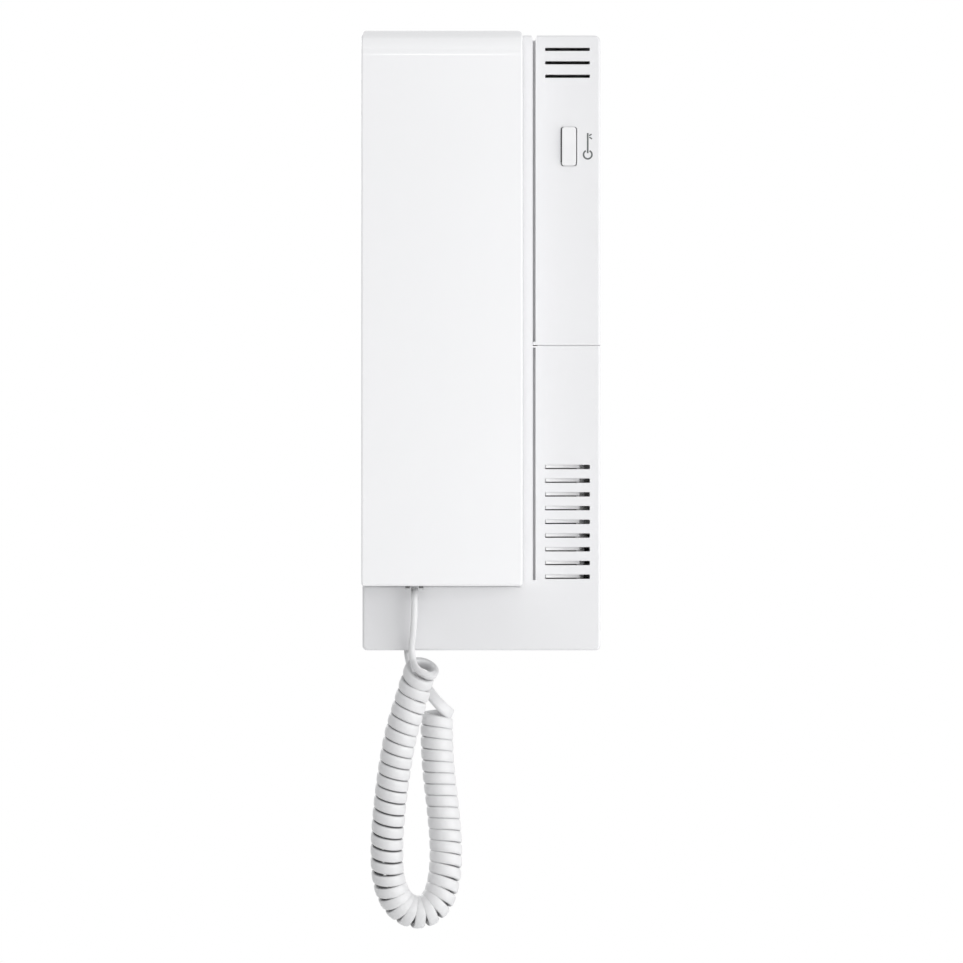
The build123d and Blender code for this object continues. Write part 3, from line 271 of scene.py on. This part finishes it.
switch_black = (0.03, 0.03, 0.032)
switch_roughness = 0.4
switch_grain, switch_relief = 0.0004, 0.00001
switch_shade = 0.8
switch_body = moulded(
    "switch_body", switch_black, switch_roughness, switch_grain, switch_relief, switch_shade
)
dress(switch_body, "hook_switch", "door_switch")

line_detail = 3.0
metal_gloss_low, metal_gloss_high = 0.7, 1.4
metal_shade = 0.85
metal_relief = 0.000004


def metal(name, colour, roughness, stretch):
    """Metal with the fine lines of its making and slow changes of gloss."""
    material, tree, shader = new_finish(name, colour, roughness)
    shader.inputs["Metallic"].default_value = 1.0
    place = tree.nodes.new("ShaderNodeTexCoord")
    mapping = tree.nodes.new("ShaderNodeMapping")
    mapping.inputs["Scale"].default_value = stretch
    lines = tree.nodes.new("ShaderNodeTexNoise")
    lines.inputs["Scale"].default_value = 1.0
    lines.inputs["Detail"].default_value = line_detail
    connect(tree, place, "Object", mapping, "Vector")
    connect(tree, mapping, "Vector", lines, "Vector")
    gloss(tree, shader, lines, "Fac", roughness * metal_gloss_low, roughness * metal_gloss_high)
    tint(tree, shader, lines, "Fac", [c * metal_shade for c in colour], colour)
    relief(tree, shader, lines, "Fac", metal_relief)
    return material


zinc_colour = (0.66, 0.66, 0.64)
zinc_roughness = 0.3
zinc_lines = (2500.0, 900.0, 2500.0)
zinc = metal("zinc_plated_steel", zinc_colour, zinc_roughness, zinc_lines)
dress(zinc, "board_screws", "terminal_screws")

sleeve_colour = (0.03, 0.035, 0.05)
sleeve_gloss = (0.22, 0.38)
sleeve_scale = 300.0
sleeve_relief = 0.00002
sleeve, tree, shader = new_finish("capacitor_sleeve", sleeve_colour, sum(sleeve_gloss) / 2)
sleeve_noise = add_texture(tree, "ShaderNodeTexNoise", sleeve_scale)
gloss(tree, shader, sleeve_noise, "Fac", *sleeve_gloss)
relief(tree, shader, sleeve_noise, "Fac", sleeve_relief)
dress(sleeve, "capacitors")


# Call speaker: a pressed steel frame on a round magnet with a steel back plate, and a black
# paper cone glued in the frame's mouth.
speaker_steel_colour = (0.55, 0.55, 0.54)
speaker_steel_roughness = 0.38
speaker_steel_lines = (1500.0, 1500.0, 1500.0)
speaker_steel = metal(
    "speaker_steel", speaker_steel_colour, speaker_steel_roughness, speaker_steel_lines
)
dress(speaker_steel, "speaker_frame")

magnet_colour = (0.30, 0.30, 0.31)
magnet_roughness = 0.45
magnet_lines = (1800.0, 1800.0, 1800.0)
magnet_cup = metal("magnet_cup", magnet_colour, magnet_roughness, magnet_lines)
dress(magnet_cup, "speaker_magnet")

cone_colour = (0.035, 0.035, 0.037)
cone_dark, cone_light = (0.02, 0.02, 0.021), (0.05, 0.05, 0.052)
cone_roughness = 0.85
fibre_scale, fibre_detail = 1800.0, 5.0
fibre_relief = 0.00006
paper, tree, shader = new_finish("cone_paper", cone_colour, cone_roughness)
fibre = add_texture(tree, "ShaderNodeTexNoise", fibre_scale, Detail=fibre_detail)
tint(tree, shader, fibre, "Fac", cone_dark, cone_light)
relief(tree, shader, fibre, "Fac", fibre_relief)
dress(paper, "speaker_cone")


# Front housing and fascia: one white ABS with a fine satin tool texture, which makes the
# unit's clean faces. The fascia clips over the upper column, so it has the same finish.
shell_colour = (0.785, 0.785, 0.795)
shell_roughness = 0.34
shell_grain, shell_relief = 0.00028, 0.000010
shell_shade = 0.992
shell = moulded("white_abs", shell_colour, shell_roughness, shell_grain, shell_relief, shell_shade)
dress(shell, "front_housing", "upper_fascia")


# Lap behind the column's seam: the housing's own low step, which closes the gap under the
# fascia's end, so the seam reads as a pale line.
box_sides = ((0, 1, 3, 2), (4, 6, 7, 5), (0, 4, 5, 1), (2, 3, 7, 6), (0, 2, 6, 4), (1, 5, 7, 3))


def add_box(name, low, high):
    """A new box between two corners."""
    (x0, y0, z0), (x1, y1, z1) = low, high
    corners = [(x, y, z) for x in (x0, x1) for y in (y0, y1) for z in (z0, z1)]
    return add_mesh(name, corners, box_sides)


lap_low, lap_high = (0.0200, -0.0444, -0.00125), (0.0418, -0.0436, -0.00065)
seam_lap = add_box("seam_lap", lap_low, lap_high)
seam_lap.data.materials.append(shell)
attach(seam_lap, "base")


# Sound baffle and its ribs behind the slots, less glossy than the housing. The baffle's white
# is brighter than the ribs', as painted light on a face that lies in shade. Nine ribs stand in
# the slots' upper part and fall away to the right, so a slot shows white over a thin dark line
# and goes dark at its right end.
# the baffle's brighter white is painted light; the ribs keep the housing's white
lit_baffle_colour = (0.96, 0.96, 0.96)
rib_colour = (0.79, 0.79, 0.795)
baffle_roughness = 0.5
baffle_grain, baffle_relief = 0.0004, 0.00001
lit_baffle_abs = moulded("lit_baffle_abs", lit_baffle_colour, baffle_roughness, baffle_grain, baffle_relief)
rib_abs = moulded("rib_abs", rib_colour, baffle_roughness, baffle_grain, baffle_relief)
dress(lit_baffle_abs, "sound_baffle")

rib_left, rib_right = 0.0229, 0.0350
rib_front_left, rib_front_right, rib_back = -0.04475, -0.0428, -0.0425
rib_low, rib_high = -0.00034, 0.00077
first_slot, slot_step, slot_count = -0.04432, 0.0049, 9


def rib_row():
    """Node tree that repeats one rib at an even step down the baffle."""
    tree = bpy.data.node_groups.new("rib_row", "GeometryNodeTree")
    tree.interface.new_socket("Rib", in_out="INPUT", socket_type="NodeSocketGeometry")
    tree.interface.new_socket("Count", in_out="INPUT", socket_type="NodeSocketInt")
    tree.interface.new_socket("Step", in_out="INPUT", socket_type="NodeSocketFloat")
    tree.interface.new_socket("Finish", in_out="INPUT", socket_type="NodeSocketMaterial")
    tree.interface.new_socket("Ribs", in_out="OUTPUT", socket_type="NodeSocketGeometry")
    given = tree.nodes.new("NodeGroupInput")
    down = tree.nodes.new("ShaderNodeMath")
    down.operation = "MULTIPLY"
    down.inputs[1].default_value = -1.0
    offset = tree.nodes.new("ShaderNodeCombineXYZ")
    places = tree.nodes.new("GeometryNodeMeshLine")
    copies = tree.nodes.new("GeometryNodeInstanceOnPoints")
    real = tree.nodes.new("GeometryNodeRealizeInstances")
    coat = tree.nodes.new("GeometryNodeSetMaterial")
    result = tree.nodes.new("NodeGroupOutput")
    connect(tree, given, "Step", down, 0)
    connect(tree, down, "Value", offset, "Z")
    connect(tree, given, "Count", places, "Count")
    connect(tree, offset, "Vector", places, "Offset")
    connect(tree, places, "Mesh", copies, "Points")
    connect(tree, given, "Rib", copies, "Instance")
    connect(tree, copies, "Instances", real, "Geometry")
    connect(tree, real, "Geometry", coat, "Geometry")
    connect(tree, given, "Finish", coat, "Material")
    connect(tree, coat, "Geometry", result, "Ribs")
    return tree


rib_corners = []
for x, front in ((rib_left, rib_front_left), (rib_right, rib_front_right)):
    for y in (front, rib_back):
        for z in (first_slot + rib_low, first_slot + rib_high):
            rib_corners.append((x, y, z))
baffle_ribs = add_mesh("baffle_ribs", rib_corners, box_sides)
row_sizes = {"Count": slot_count, "Step": slot_step, "Finish": rib_abs}
row = baffle_ribs.modifiers.new("rib_row", "NODES")
row.node_group = rib_row()
for socket in row.node_group.interface.items_tree:
    if socket.name in row_sizes:
        row[socket.identifier] = row_sizes[socket.name]
depsgraph = bpy.context.evaluated_depsgraph_get()
one_rib = baffle_ribs.data
all_ribs = bpy.data.meshes.new_from_object(baffle_ribs.evaluated_get(depsgraph))
baffle_ribs.modifiers.remove(row)
baffle_ribs.data = all_ribs
bpy.data.meshes.remove(one_rib)
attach(baffle_ribs, "base")


# Printed key beside the button: one pad-printed coat of grey ink, thinner than a sheet of
# paper, on the fascia's face. Its bow is an open ring, and its bit is two short strokes.
ink_front, ink_back = -0.04503, -0.0449
ink_width = 0.00058
bit_width_share = 0.8
key_x = 0.03792
key_top, key_end = 0.0749, 0.0677
ring_height = 0.0672
ring_radius = 0.0015
ring_opening = math.radians(26)
ring_steps = 40
bit_strokes = (
    ((0.03845, 0.07395), (0.03930, 0.07450)),
    ((0.03850, 0.07345), (0.03945, 0.07280)),
)


def ink_stroke(vertices, faces, line, width):
    """Adds a flat printed line of even width along points (x, z), with its thin edge."""
    start = len(vertices)
    half = width / 2
    for i, (x, z) in enumerate(line):
        (x0, z0), (x1, z1) = line[max(0, i - 1)], line[min(len(line) - 1, i + 1)]
        long = math.hypot(x1 - x0, z1 - z0)
        across = (-(z1 - z0) / long * half, (x1 - x0) / long * half)
        for depth in (ink_front, ink_back):
            vertices.append((x + across[0], depth, z + across[1]))
            vertices.append((x - across[0], depth, z - across[1]))
    for i in range(len(line) - 1):
        a, b = start + 4 * i, start + 4 * (i + 1)
        faces += [(a, a + 1, b + 1, b), (a + 2, b + 2, b + 3, a + 3)]
        faces += [(a, b, b + 2, a + 2), (a + 1, a + 3, b + 3, b + 1)]
    end = start + 4 * (len(line) - 1)
    faces += [(start, start + 2, start + 3, start + 1), (end, end + 1, end + 3, end + 2)]


def face_outwards(piece):
    """Turns a closed mesh's faces so that they all point out."""
    shape = bmesh.new()
    shape.from_mesh(piece.data)
    bmesh.ops.recalc_face_normals(shape, faces=shape.faces)
    shape.to_mesh(piece.data)
    shape.free()


vertices, faces = [], []
ink_stroke(vertices, faces, [(key_x, key_top), (key_x, key_end)], ink_width)
for stroke in bit_strokes:
    ink_stroke(vertices, faces, stroke, ink_width * bit_width_share)
ring = []
for i in range(ring_steps + 1):
    turn = ring_opening + (2 * math.pi - 2 * ring_opening) * i / ring_steps
    ring.append((key_x + ring_radius * math.sin(turn), ring_height + ring_radius * math.cos(turn)))
ink_stroke(vertices, faces, ring, ink_width)
key_print = add_mesh("door_key_print", vertices, faces)
face_outwards(key_print)

ink_colour = (0.11, 0.12, 0.12)
ink_dark, ink_light = (0.09, 0.10, 0.10), (0.13, 0.14, 0.14)
ink_roughness = 0.55
ink_scale = 4000.0
ink, tree, shader = new_finish("grey_ink", ink_colour, ink_roughness)
ink_noise = add_texture(tree, "ShaderNodeTexNoise", ink_scale)
tint(tree, shader, ink_noise, "Fac", ink_dark, ink_light)
key_print.data.materials.append(ink)
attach(key_print, "base")


# Door button, hook plunger and their springs: both caps are a slightly lighter and glossier
# white than the housing, and the springs are wound from bright steel wire. A black strip
# stands in the gap at the cap's left, as painted shade in that gap.
button_colour = (0.82, 0.82, 0.825)
button_roughness = 0.3
button_grain, button_relief = 0.0004, 0.000006
button_shade = 0.99
button_white = moulded(
    "button_abs", button_colour, button_roughness, button_grain, button_relief, button_shade
)
dress(button_white, "door_button", "hook_plunger")

# a black strip in the gap at the button's left: painted shade
gap_shade_low, gap_shade_high = (0.02827, -0.0446, 0.0646), (0.02862, -0.0435, 0.0776)
gap_shade_colour = (0.015, 0.015, 0.016)
gap_shade_dark, gap_shade_light = (0.012, 0.012, 0.013), (0.02, 0.02, 0.021)
gap_shade_gloss = (0.6, 0.9)
gap_shade_scale = 900.0
gap_shade_strip = add_box("gap_shade_strip", gap_shade_low, gap_shade_high)
gap_shade_finish, tree, shader = new_finish("gap_shade_finish", gap_shade_colour, sum(gap_shade_gloss) / 2)
gap_shade_noise = add_texture(tree, "ShaderNodeTexNoise", gap_shade_scale)
gloss(tree, shader, gap_shade_noise, "Fac", *gap_shade_gloss)
tint(tree, shader, gap_shade_noise, "Fac", gap_shade_dark, gap_shade_light)
gap_shade_strip.data.materials.append(gap_shade_finish)
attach(gap_shade_strip, "base")

wire_colour = (0.60, 0.60, 0.60)
wire_roughness = 0.22
wire_lines = (4000.0, 4000.0, 4000.0)
spring_wire = metal("spring_wire", wire_colour, wire_roughness, wire_lines)
dress(spring_wire, "button_spring", "hook_spring")


# Handset: two ABS shells, screwed together from behind, lighter and glossier than the
# housing. The front one is plain with a rounded top, and the rear one has the grip and the
# round ear and mouth pads.
handset_colour = (0.92, 0.92, 0.928)
handset_roughness = 0.12
handset_grain, handset_relief = 0.0006, 0.000001
handset_shade = 0.995
handset_white = moulded(
    "handset_abs", handset_colour, handset_roughness, handset_grain, handset_relief, handset_shade
)
dress(handset_white, "handset_front_shell", "handset_rear_shell")
dress(zinc, "handset_screws")


# Inside the handset: an earpiece on a foam ring, a microphone in a rubber boot and a bare
# steel weight in the grip. The cord's two sockets, here and in the base, are black polyamide.
capsule_colour = (0.72, 0.72, 0.73)
capsule_roughness = 0.3
capsule_lines = (900.0, 900.0, 900.0)
capsule_aluminium = metal("capsule_aluminium", capsule_colour, capsule_roughness, capsule_lines)
dress(capsule_aluminium, "earpiece_capsule", "microphone_capsule")

foam_colour = (0.06, 0.06, 0.062)
foam_dark, foam_light = (0.03, 0.03, 0.031), (0.09, 0.09, 0.092)
foam_roughness = 0.9
cell_scale = 2200.0
cell_low, cell_high = 0.1, 0.6
cell_relief = 0.0002
foam, tree, shader = new_finish("gasket_foam", foam_colour, foam_roughness)
cells = add_texture(tree, "ShaderNodeTexVoronoi", cell_scale)
tint(tree, shader, cells, "Distance", foam_dark, foam_light, cell_low, cell_high)
relief(tree, shader, cells, "Distance", cell_relief)
dress(foam, "earpiece_gasket")

boot_colour = (0.025, 0.025, 0.026)
boot_dark, boot_light = (0.02, 0.02, 0.021), (0.045, 0.045, 0.046)
boot_gloss = (0.55, 0.85)
talc_scale, talc_detail = 500.0, 4.0
talc_relief = 0.00003
rubber, tree, shader = new_finish("boot_rubber", boot_colour, sum(boot_gloss) / 2)
talc = add_texture(tree, "ShaderNodeTexNoise", talc_scale, Detail=talc_detail)
tint(tree, shader, talc, "Fac", boot_dark, boot_light)
gloss(tree, shader, talc, "Fac", *boot_gloss)
relief(tree, shader, talc, "Fac", talc_relief)
dress(rubber, "microphone_boot")

ballast_colour = (0.42, 0.42, 0.43)
ballast_roughness = 0.42
ballast_lines = (400.0, 400.0, 2500.0)
ballast_steel = metal("ballast_steel", ballast_colour, ballast_roughness, ballast_lines)
dress(ballast_steel, "handset_ballast")

jack_colour = (0.035, 0.035, 0.037)
jack_roughness = 0.4
jack_grain, jack_relief = 0.0004, 0.00001
jack_shade = 0.8
jack_black = moulded("jack_polyamide", jack_colour, jack_roughness, jack_grain, jack_relief, jack_shade)
dress(jack_black, "handset_jack", "base_jack")


# Two black blocks, painted shade, which stand a little out of the handset's end on either
# side of the plug.
shade_block_low, shade_block_high = -0.08740, -0.08600
shade_block_front, shade_block_back = -0.0535, -0.0505
# name, left side, right side
shade_blocks = (("plug_shade_left", -0.0270, -0.0254), ("plug_shade_right", -0.0222, -0.0207))
# each block is painted shade at one side of the plug
for name, left, right in shade_blocks:
    shade_block = add_box(name, (left, shade_block_front, shade_block_low), (right, shade_block_back, shade_block_high))
    shade_block.data.materials.append(jack_black)
    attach(shade_block, "handset")


# Modular plugs: clear polycarbonate bodies crimped on the cord's ends, so what is behind
# them shows, darkened at their edges.
clear_colour = (0.97, 0.975, 0.98)
clear_roughness = 0.06
clear_gloss = (0.04, 0.12)
clear_share = 0.92
clear_ior = 1.58
flow_scale = 400.0
clear, tree, shader = new_finish("clear_polycarbonate", clear_colour, clear_roughness)
shader.inputs["Transmission Weight"].default_value = clear_share
shader.inputs["IOR"].default_value = clear_ior
flow = add_texture(tree, "ShaderNodeTexNoise", flow_scale)
gloss(tree, shader, flow, "Fac", *clear_gloss)
dress(clear, "cord_handset_plug", "cord_base_plug")


# Curly cord: a flat four-core cable in soft white PVC, wound on a mandrel and baked, so its
# turns lie band on band. It hangs in a loop from the handset's plug to the wall unit's
# underside, and its straight ends are the same cable.
handset_lead_route = [
    (-0.0238, -0.0520, -0.0872),
    (-0.0238, -0.0520, -0.0960),
    (-0.0243, -0.0505, -0.1040),
    (-0.0251, -0.0480, -0.1090),
]
coil_axis_route = [
    (-0.0202, -0.0480, -0.1145),
    (-0.0226, -0.0450, -0.1186),
    (-0.0238, -0.0432, -0.1232),
    (-0.0253, -0.0424, -0.1278),
    (-0.0291, -0.0406, -0.1402),
    (-0.0315, -0.0386, -0.1540),
    (-0.0332, -0.0360, -0.1680),
    (-0.0342, -0.0331, -0.1812),
    (-0.0337, -0.0303, -0.1940),
    (-0.0297, -0.0286, -0.2028),
    (-0.0223, -0.0280, -0.2058),
    (-0.0157, -0.0276, -0.2016),
    (-0.0131, -0.0268, -0.1920),
    (-0.0127, -0.0256, -0.1804),
    (-0.0141, -0.0245, -0.1663),
    (-0.0158, -0.0236, -0.1523),
    (-0.0163, -0.0229, -0.1403),
    (-0.0160, -0.0226, -0.1333),
]
base_lead_route = [
    (-0.0114, -0.0262, -0.1335),
    (-0.0145, -0.0290, -0.1307),
    (-0.0190, -0.0275, -0.1257),
    (-0.0230, -0.0240, -0.1190),
    (-0.0262, -0.0220, -0.1142),
    (-0.0262, -0.0220, -0.1094),
]
# which way the base lead's wide side lies at each of its points
base_lead_ways = [
    (0.50, 0.0, 0.86),
    (0.70, 0.1, 0.70),
    (0.75, 0.1, 0.64),
    (0.75, 0.4, 0.40),
    (0.30, 0.95, 0.0),
    (0.0, 1.0, 0.0),
]
line_order = 3


def line_along(name, route, resolution):
    """Points of the smooth line that a route's NURBS spline makes."""
    curve = bpy.data.curves.new(name, "CURVE")
    curve.dimensions = "3D"
    spline = curve.splines.new("NURBS")
    spline.points.add(len(route) - 1)
    for knot, place in zip(spline.points, route):
        knot.co = (*place, 1.0)
    spline.order_u = line_order
    spline.use_endpoint_u = True
    spline.resolution_u = resolution
    holder = bpy.data.objects.new(name, curve)
    scene.collection.objects.link(holder)
    line = bpy.data.meshes.new_from_object(holder)
    points = [v.co.copy() for v in line.vertices]
    bpy.data.objects.remove(holder)
    bpy.data.curves.remove(curve)
    bpy.data.meshes.remove(line)
    return points


def distances(line):
    """How far along a line each of its points is."""
    along = [0.0]
    for a, b in zip(line, line[1:]):
        along.append(along[-1] + (b - a).length)
    return along


coil_radius = 0.00485
turn_points = 16
# turns are pulled open at the top and pressed together in the bend
# distance from the coil's upper end, pitch there
pitch_stops = (
    (0.0, 0.0044), (0.004, 0.0058), (0.013, 0.0048), (0.018, 0.0043), (0.045, 0.00425),
    (0.082, 0.00474), (0.093, 0.00346), (0.107, 0.00346), (0.116, 0.0043), (0.135, 0.00412),
    (0.200, 0.00418),
)
# dust and painted shade sit between the turns, most where the coil is bent and handled
# distance from the coil's upper end, share of dust and painted shade there
dust_and_shade_stops = ((0.0, 0.25), (0.030, 0.45), (0.055, 1.0), (0.105, 1.0), (0.118, 0.30), (0.200, 0.15))
opening_turns = 0.8
first_angle = math.radians(135)
viewer = Vector((0.0, -1.0, 0.0))

axis_steps = 24
axis = line_along("coil_axis", coil_axis_route, axis_steps)
reach = distances(axis)


def on_axis(distance):
    """Point and direction of the coil's axis at a distance from its upper end."""
    i = 0
    while i < len(reach) - 2 and reach[i + 1] < distance:
        i += 1
    share = (distance - reach[i]) / (reach[i + 1] - reach[i])
    before, after = axis[max(0, i - 1)], axis[min(len(axis) - 1, i + 2)]
    return axis[i].lerp(axis[i + 1], share), (after - before).normalized()


def value_at(stops, distance):
    """Value at a distance along the coil, in straight runs from stop to stop."""
    for (start, first), (end, second) in zip(stops, stops[1:]):
        if distance < end:
            return first + (second - first) * (distance - start) / (end - start)
    return stops[-1][1]


# the lead's wide side lies fore and aft, and turns to the coil's in its first turn
lead_way = Vector((0.0, 1.0, 0.0))
turns = []
widths = []
dust_and_shade_values = []
distance, angle = 0.0, first_angle
while distance < reach[-1]:
    centre, ahead = on_axis(distance)
    side = viewer.cross(ahead).normalized()
    front = ahead.cross(side)
    turns.append(centre + (side * math.cos(angle) + front * math.sin(angle)) * coil_radius)
    opened = min(1.0, len(turns) / (turn_points * opening_turns))
    widths.append(lead_way.lerp(ahead, opened))
    dust_and_shade_values.append(value_at(dust_and_shade_stops, distance))
    distance += value_at(pitch_stops, distance) / turn_points
    angle -= 2 * math.pi / turn_points

cord_route = [Vector(p) for p in handset_lead_route] + turns + [Vector(p) for p in base_lead_route]
flat_ways = [lead_way] * len(handset_lead_route) + widths + [Vector(way) for way in base_lead_ways]
dust_and_shade_along = [0.0] * len(handset_lead_route) + dust_and_shade_values + [0.0] * len(base_lead_route)
cord_resolution = 3
cord_line = line_along("cord_line", cord_route, cord_resolution)

band_width = 0.00415
band_thickness = 0.00235
band_steps = 16
band_power = 0.62


def rounded_flat(share):
    """Place on the cable's rounded flat section, a share of the way round."""
    turn = 2 * math.pi * share
    c, s = math.cos(turn), math.sin(turn)
    across = math.copysign(abs(c) ** band_power, c) * band_width / 2
    thick = math.copysign(abs(s) ** band_power, s) * band_thickness / 2
    return across, thick


def way_at(i):
    """The cable's wide way at a point of its line, turned smoothly between route points."""
    place = i / (len(cord_line) - 1) * (len(flat_ways) - 1)
    k = min(int(place), len(flat_ways) - 2)
    return flat_ways[k].lerp(flat_ways[k + 1], place - k)


vertices, faces = [], []
smooth_reach = 12
ways = [way_at(i) for i in range(len(cord_line))]
for i, point in enumerate(cord_line):
    before, after = cord_line[max(0, i - 1)], cord_line[min(len(cord_line) - 1, i + 1)]
    ahead = (after - before).normalized()
    near = ways[max(0, i - smooth_reach) : i + smooth_reach + 1]
    wide = sum(near, Vector()) / len(near)
    wide = (wide - ahead * wide.dot(ahead)).normalized()
    thin = ahead.cross(wide)
    for k in range(band_steps):
        across, thick = rounded_flat(k / band_steps)
        vertices.append(point + wide * across + thin * thick)
for i in range(len(cord_line) - 1):
    for k in range(band_steps):
        a, b = i * band_steps + k, i * band_steps + (k + 1) % band_steps
        faces.append((a, b, b + band_steps, a + band_steps))
faces.append(tuple(reversed(range(band_steps))))
last = (len(cord_line) - 1) * band_steps
faces.append(tuple(range(last, last + band_steps)))
curly_cord = add_mesh("curly_cord", vertices, faces)
face_outwards(curly_cord)
for face in curly_cord.data.polygons:
    face.use_smooth = True
# dust and painted shade on the band's two narrow edges, as the piece's own attribute
edge_dust_and_shade = (1.0, 0.55, 0.0, 0.0, 0.0, 0.0, 0.0, 0.55)
dust_and_shade = curly_cord.data.attributes.new("dust_and_shade", "FLOAT", "POINT")
for i in range(len(cord_line)):
    k = min(round(i / (len(cord_line) - 1) * (len(dust_and_shade_along) - 1)), len(dust_and_shade_along) - 1)
    for j in range(band_steps):
        dust_and_shade.data[i * band_steps + j].value = dust_and_shade_along[k] * edge_dust_and_shade[j % len(edge_dust_and_shade)]

pvc_colour = (0.77, 0.77, 0.775)
pvc_shade = 0.98
pvc_roughness = 0.34
pvc_gloss = (0.28, 0.42)
pvc_slow_scale = 120.0
pvc_grain_scale, pvc_grain_detail = 1500.0, 3.0
pvc_relief = 0.00001
# near-black colour of the dust and the painted shade in the coil's creases
dust_and_shade_colour = (0.10, 0.10, 0.105)
pvc, tree, shader = new_finish("white_pvc", pvc_colour, pvc_roughness)
slow = add_texture(tree, "ShaderNodeTexNoise", pvc_slow_scale)
clean = tint(tree, shader, slow, "Fac", [c * pvc_shade for c in pvc_colour], pvc_colour)
# the Mix node's colour sockets, which share their names with its other ones
first_colour, second_colour, mixed_colour = 6, 7, 2
dust_and_shade_mix = tree.nodes.new("ShaderNodeMix")
dust_and_shade_mix.data_type = "RGBA"
dust_and_shade_mix.inputs[second_colour].default_value = (*dust_and_shade_colour, 1.0)
dust_and_shade_mask = tree.nodes.new("ShaderNodeAttribute")
dust_and_shade_mask.attribute_name = "dust_and_shade"
connect(tree, clean, "Color", dust_and_shade_mix, first_colour)
connect(tree, dust_and_shade_mask, "Fac", dust_and_shade_mix, "Factor")
connect(tree, dust_and_shade_mix, mixed_colour, shader, "Base Color")
gloss(tree, shader, slow, "Fac", *pvc_gloss)
fine = add_texture(tree, "ShaderNodeTexNoise", pvc_grain_scale, Detail=pvc_grain_detail)
relief(tree, shader, fine, "Fac", pvc_relief)
glow_share, glow_depth = 0.15, 0.001
shader.inputs["Subsurface Weight"].default_value = glow_share
shader.inputs["Subsurface Radius"].default_value = (glow_depth, glow_depth, glow_depth)
shader.inputs["Subsurface Scale"].default_value = 1.0
curly_cord.data.materials.append(pvc)
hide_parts("cord_handset_lead", "cord_coil", "cord_base_lead")
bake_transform(curly_cord)
